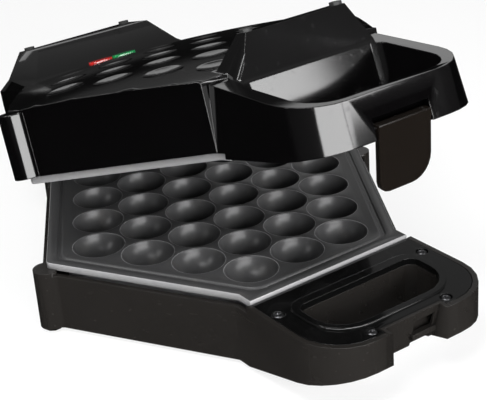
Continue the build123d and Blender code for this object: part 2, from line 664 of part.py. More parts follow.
for half, name in ((LOWER, "lower"), (UPPER, "upper")):
    with BuildPart(half) as plate:
        extrude(field_outline(half, 0), amount=PLATE_EDGE)
        extrude(field_outline(half.offset(PLATE_EDGE), BLOCK_INSET), amount=PLATE_THICK - PLATE_EDGE)
        ridge_inset = RIM_WIDTH + GROOVE_WIDTH + RIDGE_WIDTH
        rim = [(x, y, 0) for x, y in field_corners(ridge_inset)]
        floor = [(x, y, FLOOR_DROP) for x, y in field_corners(ridge_inset + FLOOR_SLOPE)]
        add(faceted([rim, floor]), mode=Mode.SUBTRACT)
        with BuildSketch(half):
            add(field_outline(Plane.XY, RIM_WIDTH))
            add(field_outline(Plane.XY, RIM_WIDTH + GROOVE_WIDTH), mode=Mode.SUBTRACT)
        extrude(amount=GROOVE_DEPTH, mode=Mode.SUBTRACT)
        with Locations(*[(x, y, FLOOR_DROP) for x, y in pit_centres(range(-SIDE_ROWS, SIDE_ROWS + 1))]):
            add(pit_cutter, mode=Mode.SUBTRACT)
        for x, y in TAB_PLACES:
            reach = TAB_Y + TAB_WIDTH / 2 - (PLATE_REACH - BLOCK_INSET - 1)
            with Locations((x, y + (TAB_WIDTH / 2 if y > 0 else -TAB_WIDTH / 2), TAB_DEPTH)):
                side = Align.MAX if y > 0 else Align.MIN
                Box(TAB_WIDTH, reach, TAB_THICK, align=(Align.CENTER, side, Align.MIN))
        with Locations(*[(x, y, TAB_DEPTH) for x, y in TAB_PLACES]):
            add(bore(SCREW_RADIUS + 0.2, 2 * TAB_THICK), mode=Mode.SUBTRACT)
        with Locations(*[(x, y, PLATE_THICK) for x, y in POST_PLACES]):
            add(rod(POST_RADIUS, REFLECTOR_DEPTH - PLATE_THICK))
    plate.part.label = name + "_plate"
    export_step(plate.part, "parts/" + name + "_plate.step")

    with BuildPart(half) as plate_screws:
        with Locations(*[Location((x, y, TAB_DEPTH), (180, 0, 0)) for x, y in TAB_PLACES]):
            add(plate_screw)
    plate_screws.part.label = name + "_plate_screws"
    export_step(plate_screws.part, "parts/" + name + "_plate_screws.step")

    with BuildPart() as heater:
        add(tube(half, [(x, y, HEATER_Z) for x, y in HEATER_ROUTE], TUBE_RADIUS, SIDES))
    heater.part.label = name + "_heater"
    export_step(heater.part, "parts/" + name + "_heater.step")

    with BuildPart() as clamps:
        for x in (HEATER_WAIST, -HEATER_WAIST):
            with BuildSketch(front_view(half, CLAMP_WIDTH / 2)):
                with Locations((x, PLATE_THICK)):
                    Rectangle(
                        2 * (TUBE_RADIUS + CLAMP_THICK + CLAMP_FOOT), CLAMP_THICK, align=(Align.CENTER, Align.MIN)
                    )
                with Locations((x, PLATE_THICK + TUBE_RADIUS + RUNNING_GAP)):
                    RegularPolygon(TUBE_RADIUS + CLAMP_THICK, SIDES, major_radius=False)
                    RegularPolygon(TUBE_RADIUS + RUNNING_GAP, SIDES, major_radius=False, mode=Mode.SUBTRACT)
                    Rectangle(
                        2 * (TUBE_RADIUS + RUNNING_GAP),
                        2 * TUBE_RADIUS,
                        align=(Align.CENTER, Align.MAX),
                        mode=Mode.SUBTRACT,
                    )
                with Locations((x, PLATE_THICK)):
                    Rectangle(BEYOND, BEYOND, align=(Align.CENTER, Align.MAX), mode=Mode.SUBTRACT)
            extrude(amount=CLAMP_WIDTH)
    clamps.part.label = name + "_heater_clamps"
    export_step(clamps.part, "parts/" + name + "_heater_clamps.step")

    with BuildPart() as reflector:
        with BuildSketch(half.offset(REFLECTOR_DEPTH)):
            RegularPolygon(REFLECTOR_APOTHEM, 6, major_radius=False)
        extrude(amount=REFLECTOR_THICK)
        with BuildSketch(half.offset(REFLECTOR_DEPTH)):
            RegularPolygon(REFLECTOR_APOTHEM, 6, major_radius=False)
            RegularPolygon(REFLECTOR_APOTHEM - REFLECTOR_THICK, 6, major_radius=False, mode=Mode.SUBTRACT)
        extrude(amount=-REFLECTOR_RIM)
    reflector.part.label = name + "_reflector"
    export_step(reflector.part, "parts/" + name + "_reflector.step")

    with BuildPart(half) as thermostat:
        with Locations((0, THERMOSTAT_Y, PLATE_THICK)):
            add(rod(THERMOSTAT_RADIUS, THERMOSTAT_THICK, FINE_SIDES))
    thermostat.part.label = name + "_thermostat"
    export_step(thermostat.part, "parts/" + name + "_thermostat.step")


# Electrical pieces of the base
with BuildPart(LOWER) as thermal_fuse:
    with Locations(Location((-FUSE_LENGTH / 2, FUSE_Y, PLATE_THICK + FUSE_RADIUS), (0, 90, 0))):
        add(rod(FUSE_RADIUS, FUSE_LENGTH))
thermal_fuse.part.label = "thermal_fuse"
export_step(thermal_fuse.part, "parts/thermal_fuse.step")

with BuildPart(BASE) as terminal_block:
    with Locations((0, TERMINAL_Y, FLOOR_Z + FLOOR_THICK)):
        Box(TERMINAL_WIDTH, TERMINAL_DEEP, TERMINAL_HIGH, align=(Align.CENTER, Align.CENTER, Align.MIN))
    with Locations((0, TERMINAL_Y, FLOOR_Z + FLOOR_THICK + TERMINAL_HIGH)):
        with GridLocations(TERMINAL_WIDTH / 3, TERMINAL_DEEP / 2, 3, 2):
            add(bore(TERMINAL_DEEP / 8, 2), mode=Mode.SUBTRACT)
terminal_block.part.label = "terminal_block"
export_step(terminal_block.part, "parts/terminal_block.step")

with BuildPart() as base_wiring:
    for side in (1, -1):
        start = (side * TERMINAL_WIDTH / 2, TERMINAL_Y, FLOOR_Z + FLOOR_THICK + TERMINAL_HIGH / 2)
        turn = (side * (HEATER_TAIL + 3), TERMINAL_Y, start[2])
        finish = (side * HEATER_TAIL, HEATER_END, -HEATER_Z)
        rise = (side * HEATER_TAIL, HEATER_END + 7, -HEATER_Z)
        add(tube(BASE, [start, turn, rise, finish], LEAD_RADIUS, SIDES))
base_wiring.part.label = "base_wiring"
export_step(base_wiring.part, "parts/base_wiring.step")

with BuildPart() as cord_gland:
    with BuildSketch(front_view(BASE, REAR_Y)):
        with Locations((GLAND_X, GLAND_Z)):
            RegularPolygon(GLAND_RADIUS, FINE_SIDES)
            RegularPolygon(CABLE_RADIUS, FINE_SIDES, mode=Mode.SUBTRACT)
    extrude(amount=WALL)
    with BuildSketch(front_view(BASE, REAR_Y + GLAND_FLANGE)):
        with Locations((GLAND_X, GLAND_Z)):
            RegularPolygon(GLAND_RADIUS + GLAND_FLANGE, FINE_SIDES)
            RegularPolygon(CABLE_RADIUS, FINE_SIDES, mode=Mode.SUBTRACT)
    extrude(amount=GLAND_FLANGE)
cord_gland.part.label = "cord_gland"
export_step(cord_gland.part, "parts/cord_gland.step")

with BuildPart(BASE) as rubber_feet:
    with Locations(*[(x, y, TABLE_Z) for x, y in both_sides(FOOT_X, FOOT_Y) + both_sides(FOOT_X, -FOOT_Y)]):
        add(rod(FOOT_RADIUS, FLOOR_Z + FOOT_SEAT - TABLE_Z, FINE_SIDES))
rubber_feet.part.label = "rubber_feet"
export_step(rubber_feet.part, "parts/rubber_feet.step")

# Hinge rod and its clips, lifted to the top of the ears' slots
ROD_Z = PIN_Z + LIFT
CLIP_X = EAR_X + EAR_THICK / 2 + EAR_GAP + KNUCKLE_THICK + 2 * RUNNING_GAP
with BuildPart() as hinge_rod:
    with BuildSketch(section(BASE)):
        with Locations((PIN_Y, ROD_Z)):
            Circle(PIN_RADIUS)
    extrude(amount=PIN_HALF, both=True)
    for x in (CLIP_X, -CLIP_X - CLIP_THICK):
        with BuildSketch(section(BASE, x)):
            with Locations((PIN_Y, ROD_Z)):
                Circle(PIN_RADIUS + 1)
                RegularPolygon(CLIP_GROOVE, FINE_SIDES, mode=Mode.SUBTRACT)
        extrude(amount=CLIP_THICK, mode=Mode.SUBTRACT)
hinge_rod.part.label = "hinge_rod"
export_step(hinge_rod.part, "parts/hinge_rod.step")

with BuildPart() as hinge_clips:
    for x in (CLIP_X, -CLIP_X - CLIP_THICK):
        with BuildSketch(section(BASE, x)):
            with Locations((PIN_Y, ROD_Z)):
                RegularPolygon(CLIP_RADIUS, FINE_SIDES)
                RegularPolygon(CLIP_GROOVE, FINE_SIDES, mode=Mode.SUBTRACT)
        extrude(amount=CLIP_THICK)
hinge_clips.part.label = "hinge_clips"
export_step(hinge_clips.part, "parts/hinge_clips.step")


def lid_outline(plane, inset=0.0):
    """Outline of the lid without its finger loop, drawn in by the inset."""
    neck = shoulder(HOUSING_APOTHEM, HOUSING_FLANK)
    tip = HOUSING_APOTHEM / cos(radians(30))
    right = [(HOUSING_FLANK, -neck - WALL, 0), (HOUSING_FLANK, -neck, 0), (tip, 0, 0), (HOUSING_FLANK, neck, 0)]
    right.append((REAR_HALF, LID_REAR_Y, REAR_CORNER))
    with BuildSketch(plane) as outline:
        Polygon(*rounded(mirrored(right)), align=None)
        if inset:
            offset(amount=-inset, kind=Kind.INTERSECTION)
    return outline.sketch


def dome(inset):
    """Domed cover over the field, drawn in by the inset."""
    with BuildPart() as cover:
        extrude(lid_outline(Plane.XY.offset(LID_LOW_Z), inset), amount=RIDGE_TOP_Z)
        crown = [ring(DOME_RINGS[0], LID_LOW_Z, DOME_SIDES)]
        crown += [ring(r, dome_z(r, 0) - inset, DOME_SIDES) for r in DOME_RINGS]
        add(faceted(crown), mode=Mode.INTERSECT)
    return cover.part


def dome_z(x, y):
    """Height of the dome over the point."""
    return DOME_TOP_Z - DOME_RADIUS + sqrt(DOME_RADIUS**2 - x**2 - y**2)


def rim_z(y):
    """Height of the sloping rim of the lid's finger loop."""
    return RIM_START_Z + (y - RIM_START_Y) * tan(radians(RIM_SLOPE))


def loop_points(plane, half, rear, front, front_radius):
    """Corners of a finger opening's D, as many for each size."""
    right = [(half, front, front_radius), (half, rear, LOOP_REAR_RADIUS)]
    return [plane.from_local_coords((x, y, 0)) for x, y in rounded(mirrored(right))]


RIM_TURN = radians(RIM_SLOPE)
RIM_PLANE = Plane(
    origin=(0, RIM_START_Y, RIM_START_Z), x_dir=(1, 0, 0), z_dir=(0, -sin(RIM_TURN), cos(RIM_TURN))
)

# Finger loop of the lid: drafted sides, a sloping rim and an opening that widens upwards
with BuildPart() as lid_loop:
    start = -shoulder(HOUSING_APOTHEM, HOUSING_FLANK)
    with BuildSketch(Plane.XY.offset(LID_LOW_Z)):
        right = [(HOUSING_FLANK, -LID_HANDLE_FRONT, HANDLE_CORNER), (HOUSING_FLANK, start, 0)]
        Polygon(*rounded(mirrored(right)), align=None)
    extrude(amount=RIM_START_Z + 10, taper=LID_DRAFT)
    with BuildSketch(section(Plane.XY)):
        Polygon(
            (start + 20, rim_z(start + 20)),
            (-LID_HANDLE_FRONT - 10, rim_z(-LID_HANDLE_FRONT - 10)),
            (-LID_HANDLE_FRONT - 10, 80),
            (start + 20, 80),
            align=None,
        )
    extrude(amount=2 * HOUSING_FLANK, both=True, mode=Mode.SUBTRACT)
    bottom = loop_points(Plane.XY.offset(LID_LOW_Z - 1), LOOP_HALF, -LID_LOOP_REAR, -LOOP_FRONT, LOOP_FRONT_RADIUS)
    stretch = 1 / cos(RIM_TURN)
    top = loop_points(
        RIM_PLANE.offset(1),
        LID_LOOP_TOP_HALF,
        (-LID_LOOP_TOP_REAR - RIM_START_Y) * stretch,
        (-LID_LOOP_TOP_FRONT - RIM_START_Y) * stretch,
        LID_LOOP_TOP_RADIUS,
    )
    add(faceted([bottom, top], flat=False), mode=Mode.SUBTRACT)


def ridge(side, face, inset):
    """Ridge across the lid from its side view and its front view, drawn in by the inset."""
    with BuildPart() as block:
        with BuildSketch(section(Plane.XY)):
            Polygon(*side, align=None)
            if inset:
                offset(amount=-inset, kind=Kind.INTERSECTION)
        extrude(amount=2 * HOUSING_FLANK, both=True)
        with BuildSketch(front_view(Plane.XY, 2 * LID_REAR_Y)):
            Polygon(*mirrored(face), align=None)
            if inset:
                offset(amount=-inset, kind=Kind.INTERSECTION)
        extrude(amount=4 * LID_REAR_Y, mode=Mode.INTERSECT)
    return block.part


FRONT_SIDE = [(-96, RIDGE_LOW_Z), (-96, 40), (-100, 46), (-112.5, RIDGE_TOP_Z), (-121, RIDGE_TOP_Z), (-126, 40)]
FRONT_SIDE.append((-131, RIDGE_LOW_Z))
FRONT_FACE = [(49.5, RIDGE_LOW_Z), (49.5, 15), (43.5, 40), (33, RIDGE_TOP_Z)]
REAR_SIDE = [(96, RIDGE_LOW_Z), (96, 40), (100, 46), (112.5, RIDGE_TOP_Z), (143, RIDGE_TOP_Z)]
REAR_SIDE += [(LID_REAR_Y, 30), (LID_REAR_Y, RIDGE_LOW_Z)]
REAR_FACE = [(62, RIDGE_LOW_Z), (62, 40), (54, 46), (42, RIDGE_TOP_Z)]

# Dimple cutter: a shallow cap with its lowest point at the origin
dimple_cutter = faceted(
    [ring(DIMPLE_FLOOR, 0, PIT_SIDES), ring(2 * DIMPLE_RADIUS - DIMPLE_FLOOR, 2 * DIMPLE_DEPTH, PIT_SIDES)]
)

# Lid shell: domed cover, two ridges, finger loop, latch recess and hinge knuckles in one moulding
with BuildPart(LID) as lid_shell:
    add(dome(0))
    add(lid_loop.part)
    add(ridge(FRONT_SIDE, FRONT_FACE, 0))
    add(ridge(REAR_SIDE, REAR_FACE, 0))
    with Locations((0, 0, LID_LOW_Z)):
        Box(BEYOND, 2 * BEYOND, BEYOND, align=(Align.CENTER, Align.CENTER, Align.MAX), mode=Mode.SUBTRACT)
    with Locations((0, 0, LID_EDGE_Z)):
        Box(BEYOND, 2 * NECK_END, BEYOND, align=(Align.CENTER, Align.CENTER, Align.MAX), mode=Mode.SUBTRACT)
    # Hollow of the cover, the ridges and the space behind the finger opening
    add(dome(LID_WALL), mode=Mode.SUBTRACT)
    add(ridge(FRONT_SIDE, FRONT_FACE, LID_WALL), mode=Mode.SUBTRACT)
    add(ridge(REAR_SIDE, REAR_FACE, LID_WALL), mode=Mode.SUBTRACT)
    with BuildSketch(section(LID)):
        Polygon(
            (-96, LID_LOW_Z),
            (-LID_LOOP_REAR + OPENING_WALL, LID_LOW_Z),
            (-LID_LOOP_TOP_REAR + OPENING_WALL, RIM_START_Z - 3 * LID_WALL),
            (-96, RIM_START_Z - LID_WALL),
            align=None,
        )
    extrude(amount=HOUSING_FLANK - 2 * LID_WALL, both=True, mode=Mode.SUBTRACT)
    # Channel in the loop's underside and the seat of its cover
    with BuildSketch(LID.offset(LID_LOW_Z)):
        add(loop_panel_outline(Plane.XY, LID_HANDLE_FRONT, WALL + PANEL_GAP))
        add(
            loop_outline(
                Plane.XY,
                LOOP_HALF + 2 * LID_WALL,
                LID_LOOP_REAR - OPENING_WALL,
                LOOP_FRONT + CHANNEL_WALL,
                LOOP_FRONT_RADIUS + LID_WALL,
                LOOP_REAR_RADIUS,
            ),
            mode=Mode.SUBTRACT,
        )
    extrude(amount=CHANNEL_DEPTH, mode=Mode.SUBTRACT)
    extrude(
        loop_panel_outline(LID.offset(LID_LOW_Z), LID_HANDLE_FRONT, WALL), amount=SEAT_THICK, mode=Mode.SUBTRACT
    )
    # Bosses, hinge knuckles and lamp posts
    for x, y in both_sides(*SIDE_SCREW) + both_sides(*FRONT_SCREW):
        with Locations((x, y, LID_LOW_Z + SEAT_THICK)):
            add(rod(BOSS_RADIUS, CHANNEL_DEPTH))
    for x, y in both_sides(*LID_REAR_SCREW):
        with Locations((x, y, LID_LOW_Z + SEAT_THICK)):
            add(rod(BOSS_RADIUS, RIDGE_TOP_Z - LID_WALL / 2 - LID_LOW_Z - SEAT_THICK))
    tab_z = RIM_GAP + TAB_DEPTH + TAB_THICK
    for x, y in both_sides(TAB_X, TAB_Y):
        with Locations((x, y, tab_z)):
            add(rod(BOSS_RADIUS, REAR_BOSS_TOP_Z - tab_z))
    for x, y in both_sides(TAB_X, -TAB_Y):
        with Locations((x, y, tab_z)):
            add(rod(BOSS_RADIUS, FRONT_BOSS_TOP_Z - tab_z))
    post_z = RIM_GAP + REFLECTOR_DEPTH + REFLECTOR_THICK
    for x, y in both_sides(POST_X, POST_Y) + both_sides(POST_X, -POST_Y):
        with Locations((x, y, post_z)):
            add(rod(POST_RADIUS, DOME_TOP_Z - LID_WALL - ROOF_SAG - post_z))
    for x, y in both_sides(HOLDER_POST_X, LENS_Y):
        with Locations((x, y, HOLDER_Z + HOLDER_THICK)):
            add(rod(HOLDER_POST_RADIUS, LENS_FLANGE_Z + 1.5 - HOLDER_Z - HOLDER_THICK))
    for side in (1, -1):
        for step in (1, -1):
            x = side * (EAR_X + step * (EAR_THICK / 2 + EAR_GAP + KNUCKLE_THICK / 2))
            with BuildSketch(section(LID, x)):
                with Locations((PIN_Y, PIN_Z)):
                    RegularPolygon(KNUCKLE_RADIUS, 2 * SIDES)
                with Locations((PIN_Y - KNUCKLE_RADIUS, PIN_Z)):
                    Rectangle(
                        LID_REAR_Y - LID_WALL / 2 - PIN_Y + KNUCKLE_RADIUS - 0.5,
                        KNUCKLE_TOP - PIN_Z,
                        align=(Align.MIN, Align.MIN),
                    )
                with Locations((PIN_Y, LID_LOW_Z)):
                    Rectangle(LID_REAR_Y - LID_WALL / 2 - PIN_Y, PIN_Z - LID_LOW_Z, align=(Align.MIN, Align.MIN))
                with Locations((PIN_Y, PIN_Z)):
                    RegularPolygon(PIN_RADIUS + RUNNING_GAP, 2 * SIDES, major_radius=False, mode=Mode.SUBTRACT)
            extrude(amount=KNUCKLE_THICK / 2, both=True)
    # Notches that let the ears through the rear wall
    for x in (EAR_X, -EAR_X):
        with Locations((x, LID_REAR_Y - LID_WALL - 1, LID_LOW_Z - 1)):
            Box(
                EAR_THICK + 2 * EAR_GAP,
                3 * LID_WALL,
                NOTCH_TOP_Z - LID_LOW_Z + 1,
                align=(Align.CENTER, Align.MIN, Align.MIN),
                mode=Mode.SUBTRACT,
            )
    # Latch recess, its pin holes, screw pilots and lamp windows
    with BuildSketch(section(LID)):
        with Locations((LID_RECESS_Y, LID_LOW_Z - 1)):
            Rectangle(BEYOND, LID_RECESS_TOP_Z - LID_LOW_Z + 1, align=(Align.MAX, Align.MIN))
    extrude(amount=LID_RECESS_HALF, both=True, mode=Mode.SUBTRACT)
    with BuildSketch(section(LID)):
        with Locations((LATCH_Y, LATCH_Z)):
            RegularPolygon(LATCH_PIN_RADIUS, SIDES, major_radius=False)
    extrude(amount=LATCH_PIN_HALF + 0.2, both=True, mode=Mode.SUBTRACT)
    for x, y in both_sides(*SIDE_SCREW) + both_sides(*FRONT_SCREW) + both_sides(*LID_REAR_SCREW):
        with Locations((x, y, LID_LOW_Z)):
            add(bore(PILOT_RADIUS, PILOT_DEPTH), mode=Mode.SUBTRACT)
    for x, y in TAB_PLACES:
        with Locations((x, y, tab_z)):
            add(bore(PILOT_RADIUS, PILOT_DEPTH), mode=Mode.SUBTRACT)
    with BuildSketch(LID.offset(LENS_FLANGE_Z)):
        with Locations(*both_sides(LENS_X, LENS_Y)):
            Polygon(*capsule(LENS_LENGTH + 2 * LENS_GAP, LENS_WIDTH + 2 * LENS_GAP), align=None)
    extrude(amount=BEYOND, mode=Mode.SUBTRACT)
    # Dimples over the pits, left out where the lamps and the rear ridge are
    dimples = pit_centres(range(-SIDE_ROWS, SIDE_ROWS))
    with Locations(*[(x, y, dome_z(x, y) - DIMPLE_DEPTH) for x, y in dimples]):
        add(dimple_cutter, mode=Mode.SUBTRACT)
lid_shell.part.label = "lid_shell"
export_step(lid_shell.part, "parts/lid_shell.step")

with BuildPart(LID) as lid_handle_panel:
    with BuildSketch(LID.offset(LID_LOW_Z)):
        add(loop_panel_outline(Plane.XY, LID_HANDLE_FRONT, WALL + PANEL_GAP))
        add(
            loop_outline(Plane.XY, LOOP_HALF, LID_LOOP_REAR, LOOP_FRONT, LOOP_FRONT_RADIUS, LOOP_REAR_RADIUS),
            mode=Mode.SUBTRACT,
        )
    extrude(amount=PANEL_THICK)
    with Locations(
        *[Location((x, y, LID_LOW_Z), (180, 0, 0)) for x, y in both_sides(*SIDE_SCREW) + both_sides(*FRONT_SCREW)]
    ):
        add(counterbore.part, mode=Mode.SUBTRACT)
lid_handle_panel.part.label = "lid_handle_panel"
export_step(lid_handle_panel.part, "parts/lid_handle_panel.step")

with BuildPart(LID) as lid_rear_panel:
    with BuildSketch(LID.offset(LID_LOW_Z)):
        add(lid_outline(Plane.XY, LID_WALL + PANEL_GAP))
        with Locations((0, NECK_END + PANEL_GAP)):
            Rectangle(
                BEYOND, LID_PANEL_REAR - NECK_END - PANEL_GAP, align=(Align.CENTER, Align.MIN), mode=Mode.INTERSECT
            )
        with Locations(*both_sides(EAR_X, EAR_SWING_Y)):
            Rectangle(EAR_THICK + 2 * EAR_GAP + 1, BEYOND, align=(Align.CENTER, Align.MIN), mode=Mode.SUBTRACT)
    extrude(amount=PANEL_THICK)
    with Locations(*[Location((x, y, LID_LOW_Z), (180, 0, 0)) for x, y in both_sides(*LID_REAR_SCREW)]):
        add(counterbore.part, mode=Mode.SUBTRACT)
lid_rear_panel.part.label = "lid_rear_panel"
export_step(lid_rear_panel.part, "parts/lid_rear_panel.step")

SEAT_UNDER = LID_LOW_Z + COUNTERBORE_DEPTH
with BuildPart(LID) as lid_handle_screws:
    places = both_sides(*SIDE_SCREW) + both_sides(*FRONT_SCREW)
    with Locations(*[Location((x, y, SEAT_UNDER), (180, 0, 0)) for x, y in places]):
        add(panel_screw)
lid_handle_screws.part.label = "lid_handle_screws"
export_step(lid_handle_screws.part, "parts/lid_handle_screws.step")

with BuildPart(LID) as lid_rear_screws:
    with Locations(*[Location((x, y, SEAT_UNDER), (180, 0, 0)) for x, y in both_sides(*LID_REAR_SCREW)]):
        add(panel_screw)
lid_rear_screws.part.label = "lid_rear_screws"
export_step(lid_rear_screws.part, "parts/lid_rear_screws.step")

# Rest nubs on the ridges
with BuildPart(LID) as lid_nubs:
    with Locations(*[(x, y, RIDGE_TOP_Z) for x, y in both_sides(*NUB_FRONT) + both_sides(*NUB_REAR)]):
        add(rod(NUB_RADIUS, NUB_HEIGHT, FINE_SIDES))
lid_nubs.part.label = "lid_nubs"
export_step(lid_nubs.part, "parts/lid_nubs.step")

# Lamp lenses, neon lamps and their holder
LENS_TOP_Z = dome_z(0, LENS_Y) + LENS_STAND
for side, name in ((-1, "red_lens"), (1, "green_lens")):
    with BuildPart(LID) as lens:
        with BuildSketch(LID.offset(LENS_FLANGE_Z)):
            with Locations((side * LENS_X, LENS_Y)):
                Polygon(*capsule(LENS_LENGTH, LENS_WIDTH), align=None)
        extrude(amount=LENS_TOP_Z - LENS_FLANGE_Z)
        with BuildSketch(LID.offset(LENS_FLANGE_Z)):
            with Locations((side * LENS_X, LENS_Y)):
                Rectangle(LENS_LENGTH, LENS_WIDTH + 2 * LENS_FLANGE)
        extrude(amount=-LENS_FLANGE)
    lens.part.label = name
    export_step(lens.part, "parts/" + name + ".step")

with BuildPart(LID) as lamp_holder:
    with Locations((0, LENS_Y, HOLDER_Z)):
        Box(2 * HOLDER_HALF, HOLDER_DEEP, HOLDER_THICK, align=(Align.CENTER, Align.CENTER, Align.MIN))
lamp_holder.part.label = "lamp_holder"
export_step(lamp_holder.part, "parts/lamp_holder.step")

NEON_Z = HOLDER_Z + HOLDER_THICK + NEON_RADIUS
with BuildPart(LID) as neon_lamps:
    for x in (LENS_LENGTH / 2, -LENS_LENGTH / 2):
        with Locations(Location((x - NEON_LENGTH / 2, LENS_Y, NEON_Z), (0, 90, 0))):
            add(rod(NEON_RADIUS, NEON_LENGTH))
neon_lamps.part.label = "neon_lamps"
export_step(neon_lamps.part, "parts/neon_lamps.step")

with BuildPart() as lid_wiring:
    for side in (1, -1):
        start = (side * HEATER_TAIL, HEATER_END, RIM_GAP + HEATER_Z)
        out = (side * HEATER_TAIL, HEATER_END + 6, RIM_GAP + HEATER_Z)
        rise = (side * HEATER_TAIL, HEATER_END + 6, NEON_Z)
        corner = (side * HEATER_TAIL, LENS_Y, NEON_Z)
        finish = (side * (LENS_LENGTH + NEON_LENGTH) / 2, LENS_Y, NEON_Z)
        add(tube(LID, [start, out, rise, corner, finish], LEAD_RADIUS, SIDES))
lid_wiring.part.label = "lid_wiring"
export_step(lid_wiring.part, "parts/lid_wiring.step")

# Latch: a flap that hangs plumb from its pin in the lid's front recess
FLAP = Plane(origin=LID.from_local_coords((0, LATCH_Y, LATCH_Z)), x_dir=(1, 0, 0), z_dir=(0, 0, 1))
with BuildPart() as latch_pin:
    with BuildSketch(section(LID)):
        with Locations((LATCH_Y, LATCH_Z)):
            Circle(LATCH_PIN_RADIUS)
    extrude(amount=LATCH_PIN_HALF, both=True)
latch_pin.part.label = "latch_pin"
export_step(latch_pin.part, "parts/latch_pin.step")

with BuildPart() as latch_flap:
    with BuildSketch(section(FLAP)):
        with Locations((-FLAP_INNER, FLAP_TOP)):
            Rectangle(FLAP_THICK, FLAP_TOP + FLAP_LENGTH, align=(Align.MAX, Align.MAX))
        Rectangle(2 * BARREL_RADIUS - 0.8, 1.6 * BARREL_RADIUS, align=(Align.MAX, Align.CENTER))
        RegularPolygon(BARREL_RADIUS, FINE_SIDES)
        RegularPolygon(LATCH_PIN_RADIUS + RUNNING_GAP, FINE_SIDES, major_radius=False, mode=Mode.SUBTRACT)
    extrude(amount=FLAP_HALF, both=True)
    with BuildSketch(section(FLAP, HOOK_LEFT)):
        Polygon(
            (-FLAP_INNER - 1, -HOOK_DROP),
            (HOOK_REACH - FLAP_INNER, -HOOK_DROP),
            (HOOK_REACH - FLAP_INNER, -HOOK_DROP - HOOK_HEIGHT / 2),
            (-FLAP_INNER - 1, -HOOK_DROP - 1.5 * HOOK_HEIGHT),
            align=None,
        )
    extrude(amount=HOOK_RIGHT - HOOK_LEFT)
    with BuildSketch(front_view(FLAP, 10)):
        top = FLAP_TOP + BARREL_RADIUS
        left = [(-FLAP_HALF, top, 0), (-FLAP_HALF, -FLAP_LENGTH, FLAP_LEFT_RADIUS)]
        right = [(FLAP_HALF, -FLAP_LENGTH, FLAP_RIGHT_RADIUS), (FLAP_HALF, top, 0)]
        Polygon(*rounded(left + right), align=None)
    extrude(amount=20, mode=Mode.INTERSECT)
latch_flap.part.label = "latch_flap"
export_step(latch_flap.part, "parts/latch_flap.step")
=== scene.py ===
"""Looks of a bubble waffle maker: smooth cast plates, gloss and satin plastics, screws, stage and lamps."""

from __future__ import annotations

import json
import logging
import math
from collections.abc import Callable, Iterable, Sequence
from dataclasses import dataclass, field
from enum import Enum

import bmesh
import bpy
from bmesh.types import BMesh, BMFace, BMVert
from bpy.types import Material, Mesh, NodeSocket, NodeTree, Object
from mathutils import Matrix, Vector
from mathutils.geometry import delaunay_2d_cdt

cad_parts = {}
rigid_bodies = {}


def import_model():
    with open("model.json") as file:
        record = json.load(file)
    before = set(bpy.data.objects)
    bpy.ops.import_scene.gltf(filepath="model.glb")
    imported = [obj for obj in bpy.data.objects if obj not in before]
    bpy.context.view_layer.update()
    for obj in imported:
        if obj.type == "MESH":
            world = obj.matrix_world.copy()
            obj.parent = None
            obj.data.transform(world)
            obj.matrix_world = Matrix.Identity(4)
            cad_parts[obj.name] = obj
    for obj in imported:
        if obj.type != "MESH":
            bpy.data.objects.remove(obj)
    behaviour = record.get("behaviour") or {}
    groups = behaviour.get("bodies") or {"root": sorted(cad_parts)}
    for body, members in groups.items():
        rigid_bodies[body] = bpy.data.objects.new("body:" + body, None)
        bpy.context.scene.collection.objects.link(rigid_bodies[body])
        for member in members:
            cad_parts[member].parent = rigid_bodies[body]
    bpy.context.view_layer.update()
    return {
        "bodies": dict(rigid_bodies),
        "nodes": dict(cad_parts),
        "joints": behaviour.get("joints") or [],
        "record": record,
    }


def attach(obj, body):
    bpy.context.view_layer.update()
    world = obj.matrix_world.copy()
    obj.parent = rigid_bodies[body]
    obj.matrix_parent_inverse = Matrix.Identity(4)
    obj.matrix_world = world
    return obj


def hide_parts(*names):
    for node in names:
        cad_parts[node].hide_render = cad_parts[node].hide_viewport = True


LOG = logging.getLogger("waffle_maker")
MM = 0.001

# Points closer than this, in metres, are one point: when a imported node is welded, and when a sheet is filled.
WELD = 2e-6
SAME_POINT = 1e-7
# Faces that lean less than this against each other are one flat face.
FLAT_ANGLE = math.radians(0.2)
# The filling that keeps only what lies inside closed outlines.
FILL_INSIDE = 1
# The two walls beside a hexagon's tip face this far to either side of the tip.
HEX_LEAN = math.radians(30)

Colour = tuple[float, float, float]
Point = tuple[float, float]


class Signal:
    """A value in a node tree, whose arithmetic adds Math nodes to the tree."""

    def __init__(self, owner: Tree, socket: NodeSocket) -> None:
        """Wrap one output socket.

        Args:
            owner: The tree that the socket belongs to.
            socket: The output that this value stands for.
        """
        self.owner = owner
        self.socket = socket

    def maths(self, operation: str, *others: Signal | float) -> Signal:
        """Return the result of one Math node that takes this value first."""
        return self.owner.node("ShaderNodeMath", {"operation": operation}, dict(enumerate((self, *others))))

    def __add__(self, other: Signal | float) -> Signal:
        """Return the sum."""
        return self.maths("ADD", other)

    def __sub__(self, other: Signal | float) -> Signal:
        """Return the difference."""
        return self.maths("SUBTRACT", other)

    def __mul__(self, other: Signal | float) -> Signal:
        """Return the product."""
        return self.maths("MULTIPLY", other)


